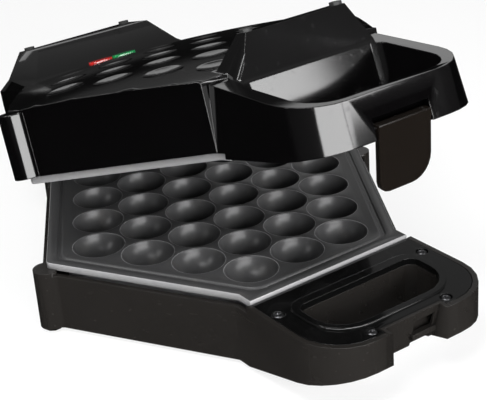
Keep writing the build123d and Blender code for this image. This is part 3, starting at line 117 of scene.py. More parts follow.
class Tree:
    """A node tree that hands back the outputs of its nodes as signals."""

    def __init__(self, tree: NodeTree) -> None:
        """Wrap a tree.

        Args:
            tree: The tree that nodes are added to.
        """
        self.tree = tree

    def node(
        self,
        kind: str,
        settings: dict[str, object] | None = None,
        values: dict[str | int, object] | None = None,
        output: str | int = 0,
    ) -> Signal:
        """Add a node.

        Args:
            kind: The node's type.
            settings: Properties of the node, set before its sockets.
            values: Numbers, colours or signals for the input sockets.
            output: The output socket to hand back.

        Returns:
            The chosen output.
        """
        made = self.tree.nodes.new(kind)
        for key, value in (settings or {}).items():
            setattr(made, key, value)
        for key, value in (values or {}).items():
            self.feed(made.inputs[key], value)
        return Signal(self, made.outputs[output])

    def feed(self, socket: NodeSocket, value: object) -> None:
        """Link a signal to a socket, or set its number or colour."""
        if isinstance(value, Signal):
            self.tree.links.new(value.socket, socket)
        elif socket.type == "RGBA":
            socket.default_value = (*value, 1.0)
        else:
            socket.default_value = value


class Graph(Tree):
    """Node tree of one material, with its shader and its Object coordinates."""

    def __init__(self, name: str) -> None:
        """Start a material with an empty tree.

        Args:
            name: The material's name.
        """
        self.material = bpy.data.materials.new(name)
        self.material.use_nodes = True
        super().__init__(self.material.node_tree)
        self.tree.nodes.clear()
        self.shader = self.tree.nodes.new("ShaderNodeBsdfPrincipled")
        self.end = self.tree.nodes.new("ShaderNodeOutputMaterial")
        self.tree.links.new(self.shader.outputs["BSDF"], self.end.inputs["Surface"])
        self.place = self.node("ShaderNodeTexCoord", output="Object")

    def set(self, **values: object) -> None:
        """Give the shader's sockets their values or links, named with underscores for spaces."""
        for key, value in values.items():
            self.feed(self.shader.inputs[key.replace("_", " ")], value)

    def noise(
        self, scale: float, detail: float = 3.0, rough: float = 0.5, stretch: Colour = (1, 1, 1)
    ) -> Signal:
        """Return a noise from 0 to 1 over the piece.

        Args:
            scale: Features per metre.
            detail: Octaves of detail.
            rough: Strength of the finer octaves.
            stretch: Scale along each axis.

        Returns:
            The noise value.
        """
        place = self.node("ShaderNodeMapping", values={"Vector": self.place, "Scale": stretch})
        return self.node(
            "ShaderNodeTexNoise",
            values={"Vector": place, "Scale": scale, "Detail": detail, "Roughness": rough},
        )

    def ramp(self, factor: Signal, low: float, high: float) -> Signal:
        """Return 0 below low, 1 above high and a straight line between them."""
        return self.node(
            "ShaderNodeMapRange", {"clamp": True}, {"Value": factor, "From Min": low, "From Max": high}
        )

    def mix(self, factor: Signal, first: Colour | Signal, second: Colour | Signal) -> Signal:
        """Return a colour between two colours."""
        return self.node("ShaderNodeMix", {"data_type": "RGBA"}, {0: factor, 6: first, 7: second}, output=2)

    def bands(self, along: str, place: Signal, scale: float, distortion: float = 0.0) -> Signal:
        """Return a wave from 0 to 1 that repeats along one axis."""
        return self.node(
            "ShaderNodeTexWave",
            {"wave_type": "BANDS", "bands_direction": along},
            {"Vector": place, "Scale": scale, "Distortion": distortion},
            output="Fac",
        )

    def bump(self, height: Signal, depth: float, under: Signal | None = None) -> Signal:
        """Return a normal that follows a height.

        Args:
            height: The height, from 0 to 1.
            depth: Height of 1, in metres.
            under: A normal to start from.

        Returns:
            The bumped normal.
        """
        values: dict[str | int, object] = {"Height": height, "Distance": depth, "Strength": 1.0}
        if under is not None:
            values["Normal"] = under
        return self.node("ShaderNodeBump", values=values)

    def soft_edges(self, radius: float) -> Signal:
        """Return a normal that rounds the edges by a radius in metres."""
        return self.node("ShaderNodeBevel", {"samples": 6}, {"Radius": radius})


@dataclass(frozen=True)
class MouldedPlastic:
    """Black moulded plastic, from mirror gloss to satin."""

    name: str
    colour: Colour
    roughness: float
    grain: float = 0.0
    waviness: float = 40e-6
    edge: float = 0.5 * MM
    gloss: float = 0.5

    def paint(self) -> Material:
        """Return the material: even colour, a wavy gloss, a little dust and hairlines."""
        graph = Graph(self.name)
        cloud = graph.noise(38.0, detail=2.0)
        dust = graph.ramp(graph.noise(900.0, detail=2.0, rough=0.7), low=0.70, high=0.82)
        threads = graph.noise(260.0, detail=1.0, stretch=(1.0, 0.04, 1.0))
        hair = graph.ramp(threads, low=0.66, high=0.72)
        lighter = tuple(min(1.0, c * 1.25 + 0.001) for c in self.colour)
        normal = graph.soft_edges(self.edge)
        normal = graph.bump(graph.noise(16.0, detail=1.0), self.waviness, normal)
        if self.grain:
            normal = graph.bump(graph.noise(2600.0, detail=2.0, rough=0.6), self.grain, normal)
        graph.set(
            Base_Color=graph.mix(cloud * 0.5 + dust * 0.25, self.colour, lighter),
            Roughness=cloud * 0.05 + dust * 0.12 + hair * 0.05 + (self.roughness - 0.02),
            IOR=1.5,
            Specular_IOR_Level=self.gloss,
            Normal=normal,
        )
        return graph.material


@dataclass(frozen=True)
class NonStickCoat:
    """Dark non-stick coating with fine bright flecks over cast metal."""

    name: str = "non_stick_coat"
    colour: Colour = (0.042, 0.042, 0.043)
    worn: Colour = (0.058, 0.056, 0.054)
    fleck: Colour = (0.13, 0.13, 0.135)
    roughness: float = 0.33

    def paint(self) -> Material:
        """Return the material: charcoal with pinpoint flecks and a pebbled sheen."""
        graph = Graph(self.name)
        flecks = graph.ramp(graph.noise(3200.0, detail=1.0), low=0.68, high=0.74)
        wear = graph.ramp(graph.noise(70.0, detail=4.0, rough=0.6), low=0.55, high=0.8)
        graph.set(
            Base_Color=graph.mix(flecks, graph.mix(wear, self.colour, self.worn), self.fleck),
            Roughness=flecks * -0.1 + wear * 0.08 + self.roughness,
            Metallic=flecks * 0.2,
            IOR=1.45,
            Specular_IOR_Level=0.35,
            Normal=graph.bump(graph.noise(1500.0, detail=3.0, rough=0.6), 8e-6, graph.soft_edges(0.4 * MM)),
        )
        return graph.material


@dataclass(frozen=True)
class BareMetal:
    """Bare metal: cast, drawn, brushed or bright, with grain along one axis."""

    name: str
    colour: Colour
    roughness: float
    grain: Colour = (1.0, 1.0, 1.0)
    depth: float = 4e-6
    tarnish: Colour = (0.35, 0.33, 0.3)
    tarnish_share: float = 0.25
    metallic: float = 1.0

    def paint(self) -> Material:
        """Return the material: grain lines, a cloudy tarnish and soft edges."""
        graph = Graph(self.name)
        lines = graph.noise(1400.0, detail=3.0, rough=0.6, stretch=self.grain)
        cloud = graph.ramp(graph.noise(60.0, detail=4.0, rough=0.6), low=0.4, high=0.85)
        graph.set(
            Base_Color=graph.mix(cloud * self.tarnish_share + lines * 0.08, self.colour, self.tarnish),
            Roughness=lines * 0.16 + cloud * 0.1 + (self.roughness - 0.08),
            Metallic=self.metallic,
            Normal=graph.bump(lines, self.depth, graph.soft_edges(0.25 * MM)),
        )
        return graph.material


@dataclass(frozen=True)
class SoftRubber:
    """Matt black rubber with a fine bloom."""

    name: str = "soft_rubber"
    colour: Colour = (0.018, 0.018, 0.018)

    def paint(self) -> Material:
        """Return the material: dull black with a pale bloom."""
        graph = Graph(self.name)
        bloom = graph.ramp(graph.noise(180.0, detail=4.0, rough=0.65), low=0.45, high=0.8)
        graph.set(
            Base_Color=graph.mix(bloom * 0.5, self.colour, (0.045, 0.045, 0.044)),
            Roughness=bloom * 0.15 + 0.62,
            Normal=graph.bump(graph.noise(2200.0, detail=2.0, rough=0.6), 15e-6),
        )
        return graph.material


@dataclass(frozen=True)
class LampLens:
    """Tinted translucent window with moulded ribs under its face."""

    name: str
    colour: Colour
    glow: float

    def paint(self) -> Material:
        """Return the material: saturated tint, ribs inside and a faint glow."""
        graph = Graph(self.name)
        ribs = graph.bands("X", graph.place, 190.0)
        deep = tuple(c * 0.45 for c in self.colour)
        graph.set(
            Base_Color=graph.mix(ribs * 0.55, self.colour, deep),
            Roughness=graph.noise(60.0) * 0.05 + 0.07,
            Emission_Color=graph.mix(ribs, self.colour, deep),
            Emission_Strength=self.glow,
            Coat_Weight=0.6,
            Normal=graph.bump(ribs, 30e-6, graph.soft_edges(0.5 * MM)),
        )
        return graph.material


@dataclass(frozen=True)
class PaleCeramic:
    """Off-white ceramic or heat-proof moulding with specks."""

    name: str = "pale_ceramic"
    colour: Colour = (0.72, 0.69, 0.62)

    def paint(self) -> Material:
        """Return the material: chalky white with brown specks."""
        graph = Graph(self.name)
        specks = graph.ramp(graph.noise(900.0, detail=2.0, rough=0.6), low=0.68, high=0.75)
        graph.set(
            Base_Color=graph.mix(specks, self.colour, (0.42, 0.37, 0.3)),
            Roughness=graph.noise(120.0) * 0.15 + 0.5,
            Normal=graph.bump(graph.noise(1600.0, detail=3.0), 12e-6, graph.soft_edges(0.3 * MM)),
        )
        return graph.material


@dataclass(frozen=True)
class BraidedSleeve:
    """Woven glass sleeve of the heater leads."""

    name: str = "braided_sleeve"
    colour: Colour = (0.74, 0.71, 0.63)

    def paint(self) -> Material:
        """Return the material: two crossing sets of threads."""
        graph = Graph(self.name)
        threads = []
        for lean in (0.8, -0.8):
            place = graph.node(
                "ShaderNodeMapping", values={"Vector": graph.place, "Rotation": (lean, lean, 0.0)}
            )
            threads.append(graph.bands("Z", place, 420.0, 0.6))
        weave = threads[0] * threads[1]
        graph.set(
            Base_Color=graph.mix(weave, tuple(c * 0.5 for c in self.colour), self.colour),
            Roughness=weave * -0.1 + 0.85,
            Normal=graph.bump(weave, 60e-6),
        )
        return graph.material


@dataclass(frozen=True)
class LampGlass:
    """Clear glass envelope of the neon lamps with a warm discharge."""

    name: str = "lamp_glass"

    def paint(self) -> Material:
        """Return the material: pale glass with orange patches."""
        graph = Graph(self.name)
        warm = graph.ramp(graph.noise(240.0), low=0.35, high=0.65)
        graph.set(
            Base_Color=graph.mix(warm, (0.85, 0.82, 0.78), (0.9, 0.42, 0.18)),
            Roughness=graph.noise(90.0) * 0.05 + 0.05,
            Transmission_Weight=0.4,
            IOR=1.5,
        )
        return graph.material


class Part(Enum):
    """Material slots of the record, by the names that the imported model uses."""

    BASE = "base_black"
    PANEL = "panel_gloss"
    LID = "lid_gloss"
    LATCH = "latch_brown"
    PLATE = "cast_plate"
    SCREW = "screw_steel"
    HEATER = "heater_steel"
    SHEET = "bright_sheet"
    CERAMIC = "ceramic_white"
    SLEEVE = "wire_sleeve"
    RUBBER = "soft_rubber"
    RED = "lens_red"
    GREEN = "lens_green"
    GLASS = "lamp_glass"


@dataclass
class Finishes:
    """Every material of the object, painted once."""

    made: dict[Part, Material] = field(default_factory=dict)

    def paint(self) -> None:
        """Paint each slot's material."""
        recipes = {
            Part.BASE: MouldedPlastic(
                "satin_black", (0.012, 0.0108, 0.0098), roughness=0.24, grain=4e-6, gloss=0.3
            ),
            Part.PANEL: MouldedPlastic("panel_gloss", (0.002, 0.002, 0.002), roughness=0.09, gloss=0.4),
            Part.LID: MouldedPlastic("lid_gloss", (0.0008, 0.0007, 0.0008), roughness=0.1, edge=0.7 * MM),
            Part.LATCH: MouldedPlastic("latch_gloss", (0.005, 0.0038, 0.003), roughness=0.08, gloss=0.4),
            Part.PLATE: BareMetal(
                "cast_edge",
                (0.34, 0.34, 0.35),
                roughness=0.4,
                grain=(1.0, 1.0, 0.1),
                depth=10e-6,
                metallic=0.4,
            ),
            Part.SCREW: BareMetal(
                "dark_screw_steel", (0.10, 0.10, 0.105), roughness=0.3, tarnish=(0.05, 0.05, 0.05)
            ),
            Part.HEATER: BareMetal(
                "heater_steel", (0.4, 0.37, 0.35), roughness=0.42, tarnish=(0.2, 0.14, 0.1)
            ),
            Part.SHEET: BareMetal("bright_sheet", (0.8, 0.8, 0.82), roughness=0.2, grain=(0.05, 1.0, 1.0)),
            Part.CERAMIC: PaleCeramic(),
            Part.SLEEVE: BraidedSleeve(),
            Part.RUBBER: SoftRubber(),
            Part.RED: LampLens("lens_red", (0.62, 0.02, 0.015), glow=0.25),
            Part.GREEN: LampLens("lens_green", (0.01, 0.36, 0.10), glow=0.12),
            Part.GLASS: LampGlass(),
        }
        for slot, recipe in recipes.items():
            self.made[slot] = recipe.paint()

    def of(self, slot: Part) -> Material:
        """Return a slot's material."""
        return self.made[slot]


@dataclass
class Model:
    """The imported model: its nodes, its bodies and the frames of its two halves."""

    frame: dict[str, object]
    finishes: Finishes
    open_angle: float = math.radians(15.7)
    pin_y: float = 139.5 * MM
    pin_z: float = 6.0 * MM
    rim_height: float = 43.0 * MM
    rim_gap: float = 0.3 * MM
    sharp: float = 36.0
    owners: dict[str, str] = field(default_factory=dict)
    slots: dict[str, Part] = field(default_factory=dict)

    def __post_init__(self) -> None:
        """Look up each node's body and slot."""
        record = self.frame["record"]
        for body, nodes in record["behaviour"]["bodies"].items():
            for node in nodes:
                self.owners[node] = body
        for entry in record["subparts"]:
            self.slots[entry["node"]] = Part(entry["material_slot"])

    @property
    def pin(self) -> Vector:
        """Return the lid's pin at rest."""
        for joint in self.frame["record"]["behaviour"]["joints"]:
            if joint["name"] == "lid_hinge":
                return Vector(joint["pos_m"])
        raise ValueError("the record has no lid_hinge")

    @property
    def base(self) -> Matrix:
        """Return the base's frame: the field's centre at the height of the plate's rim."""
        return Matrix.Translation((0.0, self.pin.y - self.pin_y, self.rim_height))

    @property
    def lid(self) -> Matrix:
        """Return the lid's frame, tilted open about its pin."""
        turn = Matrix.Rotation(-self.open_angle, 4, "X")
        return Matrix.Translation(self.pin) @ turn @ Matrix.Translation((0.0, -self.pin_y, -self.pin_z))

    @property
    def lower_plate(self) -> Matrix:
        """Return the lower plate's frame, its depth downwards."""
        return self.base @ Matrix.Rotation(math.pi, 4, "Y")

    @property
    def upper_plate(self) -> Matrix:
        """Return the upper plate's frame, its depth upwards."""
        return self.lid @ Matrix.Translation((0.0, 0.0, self.rim_gap))

    def settle(self, piece: Object, node: str, *more: str) -> None:
        """Let a piece stand for a node and ride with it.

        Args:
            piece: The finished piece.
            node: The node whose body it takes.
            more: Other nodes that it also replaces.
        """
        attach(piece, self.owners[node])
        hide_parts(node, *more)
        LOG.info("%s rides on %s", piece.name, self.owners[node])

    def smooth_copy(self, node: str, rework: Callable[[BMesh], None] | None = None) -> None:
        """Replace a node by a welded copy with smooth curved faces.

        Args:
            node: The node to copy.
            rework: What else is done to the welded shape.
        """
        mesh = self.frame["nodes"][node].data.copy()
        shape = bmesh.new()
        shape.from_mesh(mesh)
        bmesh.ops.remove_doubles(shape, verts=shape.verts, dist=WELD)
        bmesh.ops.dissolve_degenerate(shape, edges=shape.edges, dist=SAME_POINT)
        bmesh.ops.dissolve_limit(
            shape, angle_limit=FLAT_ANGLE, verts=shape.verts, edges=shape.edges, delimit={"NORMAL"}
        )
        if rework:
            rework(shape)
        shape.to_mesh(mesh)
        shape.free()
        smooth_below(mesh, self.sharp)
        self.settle(new_piece(f"{node}_skin", area_shaded(mesh), [self.finishes.of(self.slots[node])]), node)

    def smooth_copies(self, *nodes: str) -> None:
        """Replace nodes by smooth copies."""
        for node in nodes:
            self.smooth_copy(node)

    def repaint(self, *nodes: str) -> None:
        """Give the nodes that stay their finished materials."""
        for node in nodes:
            data = self.frame["nodes"][node].data
            data.materials.clear()
            data.materials.append(self.finishes.of(self.slots[node]))
            LOG.info("%s repainted", node)


def smooth_below(mesh: Mesh, angle: float) -> None:
    """Shade a mesh smooth, apart from the edges that are sharper than an angle in degrees."""
    mesh.polygons.foreach_set("use_smooth", [True] * len(mesh.polygons))
    mesh.set_sharp_from_angle(angle=math.radians(angle))


def mesh_of(name: str, shape: BMesh, frame: Matrix, sharp: float) -> Mesh:
    """Turn a drawn shape into a mesh.

    Args:
        name: The mesh's name.
        shape: The shape, which is freed.
        frame: Where the shape stands.
        sharp: Edges sharper than this, in degrees, stay sharp.

    Returns:
        The mesh.
    """
    mesh = bpy.data.meshes.new(name)
    shape.transform(frame)
    shape.to_mesh(mesh)
    shape.free()
    smooth_below(mesh, sharp)
    return mesh


def area_shaded(mesh: Mesh) -> Mesh:
    """Return the mesh with normals that favour its large faces, so that flats stay flat beside a round."""
    carrier = bpy.data.objects.new("carrier", mesh)
    bpy.context.scene.collection.objects.link(carrier)
    carrier.modifiers.new("favour_flats", "WEIGHTED_NORMAL").keep_sharp = True
    graph = bpy.context.evaluated_depsgraph_get()
    made = bpy.data.meshes.new_from_object(
        carrier.evaluated_get(graph), preserve_all_data_layers=True, depsgraph=graph
    )
    bpy.data.objects.remove(carrier)
    return made


def new_piece(name: str, mesh: Mesh, materials: Sequence[Material]) -> Object:
    """Put a mesh into the scene.

    Args:
        name: The piece's name.
        mesh: Its mesh, in metres in the row frame.
        materials: Its materials, in slot order.

    Returns:
        The new object.
    """
    mesh.name = name
    for k, material in enumerate(materials):
        if k < len(mesh.materials):
            mesh.materials[k] = material
        else:
            mesh.materials.append(material)
    piece = bpy.data.objects.new(name, mesh)
    bpy.context.scene.collection.objects.link(piece)
    return piece


class NodeTool(Tree):
    """A Geometry Nodes tree with named inputs, used once and applied."""

    def __init__(self, name: str) -> None:
        """Start a tree with a geometry input and output.

        Args:
            name: The tree's name.
        """
        super().__init__(bpy.data.node_groups.new(name, "GeometryNodeTree"))
        for way in ("INPUT", "OUTPUT"):
            self.tree.interface.new_socket("Geometry", in_out=way, socket_type="NodeSocketGeometry")
        self.start = self.tree.nodes.new("NodeGroupInput")
        self.end = self.tree.nodes.new("NodeGroupOutput")
        self.values: dict[str, object] = {}

    def given(self, name: str) -> Signal:
        """Return one of the tree's inputs."""
        return Signal(self, self.start.outputs[name])

    def size(self, name: str, kind: str, value: object) -> Signal:
        """Add a named input.

        Args:
            name: The input's name.
            kind: Its socket type.
            value: The value that this use gives it.

        Returns:
            The input inside the tree.
        """
        socket = self.tree.interface.new_socket(name, in_out="INPUT", socket_type=kind)
        self.values[socket.identifier] = value
        return self.given(name)

    def finish(self, geometry: Signal, material: Material) -> None:
        """End the tree with Realize Instances and Set Material."""
        real = self.node("GeometryNodeRealizeInstances", values={"Geometry": geometry})
        dressed = self.node("GeometryNodeSetMaterial", values={"Geometry": real, "Material": material})
        self.feed(self.end.inputs[0], dressed)

    def apply(self, mesh: Mesh) -> Mesh:
        """Run the tree on a mesh.

        Args:
            mesh: The mesh that the tree starts from.

        Returns:
            The plain mesh that comes out.
        """
        carrier = bpy.data.objects.new("carrier", mesh)
        bpy.context.scene.collection.objects.link(carrier)
        modifier = carrier.modifiers.new("tool", "NODES")
        modifier.node_group = self.tree
        for identifier, value in self.values.items():
            modifier[identifier] = value
        bpy.context.view_layer.update()
        graph = bpy.context.evaluated_depsgraph_get()
        made = bpy.data.meshes.new_from_object(carrier.evaluated_get(graph))
        bpy.data.objects.remove(carrier)
        return made


def point_mesh(points: Iterable[Sequence[float]]) -> Mesh:
    """Return a mesh of loose points."""
    mesh = bpy.data.meshes.new("points")
    mesh.from_pydata([tuple(point) for point in points], [], [])
    return mesh


def both_sides(x: float, y: float) -> list[Point]:
    """Return a point and its mirror image across the middle."""
    return [(x, y), (-x, y)]


def steps_between(start: float, end: float, count: int) -> list[float]:
    """Return evenly stepped values from start to end, both included."""
    return [start + (end - start) * k / count for k in range(count + 1)]


def on_circle(x: float, y: float, radius: float, turns: Iterable[float]) -> list[Point]:
    """Return the points of a circle at the given angles."""
    return [(x + radius * math.cos(turn), y + radius * math.sin(turn)) for turn in turns]


def join_rings(shape: BMesh, rings: Sequence[list[BMVert]]) -> None:
    """Join each ring of vertices to the next by a band of faces."""
    for low, high in zip(rings, rings[1:]):
        for k in range(len(low)):
            shape.faces.new((low[k - 1], low[k], high[k], high[k - 1]))


@dataclass
class CookingField:
    """Layout shared by the two plates and the dimples: rows of three to six pits on a triangular grid."""

    pitch: float = 33.0 * MM
    middle: int = 6
    side_rows: int = 3

    def centres(self, left_out: int = 0) -> list[Point]:
        """Return the centres of the pits.

        Args:
            left_out: Rows to leave out at the rear.

        Returns:
            The centres, row by row from the front.
        """
        places = []
        for row in range(-self.side_rows, self.side_rows + 1 - left_out):
            count = self.middle - abs(row)
            for k in range(count):
                x = (k - (count - 1) / 2) * self.pitch
                places.append((x, row * self.pitch * math.sqrt(3) / 2))
        return places


@dataclass
class CastPlate:
    """Cast plate, drawn with its depth as z: bare edge and rim, coated groove, floor and round pits."""

    field_layout: CookingField
    apothem: float = 102.0 * MM
    flank: float = 56.5 * MM
    reach: float = 116.6 * MM
    tip_radius: float = 4.0 * MM
    tip_growth: float = 0.35
    corner_radius: float = 11.0 * MM
    edge: float = 4.2 * MM
    thick: float = 16.0 * MM
    rim: float = 6.0 * MM
    groove: float = 2.4 * MM
    groove_depth: float = 1.0 * MM
    ridge: float = 1.6 * MM
    slope: float = 3.0 * MM
    floor: float = 1.3 * MM
    block_inset: float = 11.4 * MM
    pit_radius: float = 15.3 * MM
    pit_depth: float = 12.6 * MM
    mouth_round: float = 0.5 * MM
    mouth_angle: float = math.radians(30)
    soft: float = 0.35 * MM
    pit_sides: int = 48
    pit_rings: int = 12
    tip_steps: int = 6
    corner_steps: int = 8
    tab_x: float = 42.0 * MM
    tab_y: float = 121.5 * MM
    tab_width: float = 11.0 * MM
    tab_thick: float = 4.0 * MM
    tab_depth: float = 7.6 * MM
    tab_overlap: float = 0.5 * MM
    tab_round: float = 2.0 * MM
    level: float = 0.01 * MM
    near: float = 0.1 * MM
    weld: float = 6e-6
    mouth_share: float = 0.995
    sharp: float = 50.0

    def outline(self, inset: float) -> list[Point]:
        """Return the outline, drawn in by the inset: necks outside the rim, round corners inside it."""
        apothem = self.apothem - inset
        flank = self.flank - inset
        reach = self.reach - inset
        radius = self.tip_radius + self.tip_growth * inset
        tip = apothem / math.cos(HEX_LEAN) - radius / math.cos(HEX_LEAN)
        arc = on_circle(tip, 0.0, radius, steps_between(-HEX_LEAN, HEX_LEAN, self.tip_steps))
        if inset < self.rim / 2:
            neck = (apothem - flank * math.cos(HEX_LEAN)) / math.sin(HEX_LEAN)
            corner = [(flank, y) for y in steps_between(neck, reach, self.corner_steps)]
        else:
            y = reach - self.corner_radius
            x = (apothem - y * math.sin(HEX_LEAN) - self.corner_radius) / math.cos(HEX_LEAN)
            turns = steps_between(HEX_LEAN, math.pi / 2, self.corner_steps)
            corner = on_circle(x, y, self.corner_radius, turns)
        front = [(x, -y) for x, y in reversed(corner)]
        right = [*front, *arc, *corner]
        return right + [(-x, y) for x, y in reversed(right)]

    def profile(self) -> list[tuple[float, float, bool]]:
        """Return the rings from the underside to the floor as inset, depth and whether coated above."""
        soft = self.soft
        rim = self.rim
        inner = rim + self.groove
        floor_start = inner + self.ridge
        return [
            (self.block_inset, self.thick, False),
            (self.block_inset, self.edge, False),
            (soft, self.edge, False),
            (0.0, self.edge - soft, False),
            (0.0, soft, False),
            (soft, 0.0, True),
            (rim - soft, 0.0, True),
            (rim, soft, True),
            (rim + soft, self.groove_depth, True),
            (inner - soft, self.groove_depth, True),
            (inner, soft, True),
            (inner + soft, 0.0, True),
            (floor_start, 0.0, True),
            (floor_start + self.slope, self.floor, True),
        ]

    def cups(self, material: Material) -> Mesh:
        """Return the pits: one bubble worked out on a grid and placed at every centre."""
        bubble = (self.pit_radius**2 + self.pit_depth**2) / (2 * self.pit_depth)
        mouth = math.asin(self.pit_radius / bubble)
        tool = NodeTool("bubble_pits")
        radius = tool.size("Bubble Radius", "NodeSocketFloat", bubble)
        rise = tool.size("Bubble Rise", "NodeSocketFloat", bubble - self.pit_depth)
        angle = tool.size("Mouth Angle", "NodeSocketFloat", mouth)
        sides = tool.size("Sides", "NodeSocketInt", self.pit_sides + 1)
        rings = tool.size("Rings", "NodeSocketInt", self.pit_rings + 1)
        grid = tool.node(
            "GeometryNodeMeshGrid",
            values={"Size X": 1.0, "Size Y": 1.0, "Vertices X": sides, "Vertices Y": rings},
        )
        place = tool.node("GeometryNodeInputPosition")
        along, up = (tool.node("ShaderNodeSeparateXYZ", values={0: place}, output=axis) for axis in "XY")
        turn = along * math.tau
        lean = (up + 0.5) * angle
        across = lean.maths("SINE") * radius
        down = lean.maths("COSINE") * radius - rise
        spot = tool.node(
            "ShaderNodeCombineXYZ",
            values={"X": across * turn.maths("COSINE"), "Y": across * turn.maths("SINE"), "Z": down},
        )
        cup = tool.node("GeometryNodeSetPosition", values={"Geometry": grid, "Position": spot})
        pits = tool.node(
            "GeometryNodeInstanceOnPoints", values={"Points": tool.given("Geometry"), "Instance": cup}
        )
        tool.finish(pits, material)
        return tool.apply(point_mesh((x, y, self.floor) for x, y in self.field_layout.centres()))

    def build(self, name: str, frame: Matrix, bare: Material, coat: Material) -> Object:
        """Make a plate.

        Args:
            name: The piece's name.
            frame: The plate's frame, its depth as z.
            bare: Material of the edge and rim.
            coat: Material of the groove, floor and pits.

        Returns:
            The plate as a new object.
        """
        profile = self.profile()
        shape = bmesh.new()
        rings = []
        for inset, depth, _ in profile:
            rings.append([shape.verts.new((x, y, depth)) for x, y in self.outline(inset)])
        for low, high, (_, _, coated) in zip(rings, rings[1:], profile):
            for k in range(len(low)):
                face = shape.faces.new((low[k], low[k - 1], high[k - 1], high[k]))
                face.material_index = int(coated)
        shape.faces.new(rings[0])
        self._floor(shape, rings[-1])
        shape.from_mesh(self.cups(coat))
        bmesh.ops.remove_doubles(shape, verts=shape.verts, dist=self.weld)
        self._tabs(shape)
        bmesh.ops.recalc_face_normals(shape, faces=shape.faces)
        self._round_mouths(shape)
        for face in shape.faces:
            if face.material_index == 0 and self._in_field(face):
                face.material_index = 1
        return new_piece(name, mesh_of(name, shape, frame, self.sharp), [bare, coat])

    def _over_pit(self, spot: Vector, radius: float) -> bool:
        """Return whether a spot lies within a radius of a pit's middle."""
        return any(math.hypot(spot.x - x, spot.y - y) < radius for x, y in self.field_layout.centres())

    def _in_field(self, face: BMFace) -> bool:
        """Return whether a face belongs to the floor or to a pit."""
        spot = face.calc_center_median()
        if spot.z <= self.floor - self.level or max(abs(v.co.x) for v in face.verts) >= self.apothem:
            return False
        if spot.z < self.floor + self.level:
            return True
        return spot.z < self.thick - self.near and self._over_pit(spot, self.pit_radius + self.near)

    def _floor(self, shape: BMesh, ring: list[BMVert]) -> None:
        """Fill the floor between the innermost ring and the pits' mouths."""
        points = [Vector(v.co.xy) for v in ring]
        edges = [(k, (k + 1) % len(points)) for k in range(len(points))]
        sides = self.pit_sides
        turns = [math.tau * (k / sides - 0.5) for k in range(sides)]
        for x, y in self.field_layout.centres():
            start = len(points)
            points += [Vector(spot) for spot in on_circle(x, y, self.pit_radius, turns)]
            edges += [(start + k, start + (k + 1) % sides) for k in range(sides)]
        spots, _, faces, *_ = delaunay_2d_cdt(points, edges, [], FILL_INSIDE, SAME_POINT)
        made = [shape.verts.new((spot.x, spot.y, self.floor)) for spot in spots]
        for loop in faces:
            middle = sum((spots[k] for k in loop), Vector((0.0, 0.0))) / len(loop)
            if not self._over_pit(middle, self.pit_radius * self.mouth_share):
                shape.faces.new([made[k] for k in loop]).material_index = 1
        for vert in [v for v in made if not v.link_faces]:
            shape.verts.remove(vert)

    def _round_mouths(self, shape: BMesh) -> None:
        """Round the edges where the pits meet the floor."""
        edges = []
        for edge in shape.edges:
            if len(edge.link_faces) != 2 or any(abs(v.co.z - self.floor) > self.level for v in edge.verts):
                continue
            spot = (edge.verts[0].co + edge.verts[1].co) / 2
            near_pit = self._over_pit(spot, self.pit_radius + self.near)
            if near_pit and edge.calc_face_angle() > self.mouth_angle:
                edges.append(edge)
        bmesh.ops.bevel(
            shape,
            geom=edges,
            offset=self.mouth_round,
            segments=3,
            profile=0.5,
            affect="EDGES",
            clamp_overlap=True,
        )

    def _tabs(self, shape: BMesh) -> None:
        """Add the four screw tabs, each a block with rounded corners."""
        for x in (self.tab_x, -self.tab_x):
            for y in (self.tab_y, -self.tab_y):
                inner = math.copysign(self.reach - self.block_inset - self.tab_overlap, y)
                outer = math.copysign(self.tab_y + self.tab_width / 2, y)
                middle = Vector((x, (inner + outer) / 2, self.tab_depth + self.tab_thick / 2))
                size = Vector((self.tab_width, abs(outer - inner), self.tab_thick))
                place = Matrix.Translation(middle) @ Matrix.Diagonal((*size, 1.0))
                block = bmesh.ops.create_cube(shape, size=1.0, matrix=place)
                edges = dict.fromkeys(edge for vert in block["verts"] for edge in vert.link_edges)
                upright = [e for e in edges if abs(e.verts[0].co.z - e.verts[1].co.z) > self.tab_thick / 2]
                bmesh.ops.bevel(
                    shape, geom=upright, offset=self.tab_round, segments=4, profile=0.5, affect="EDGES"
                )


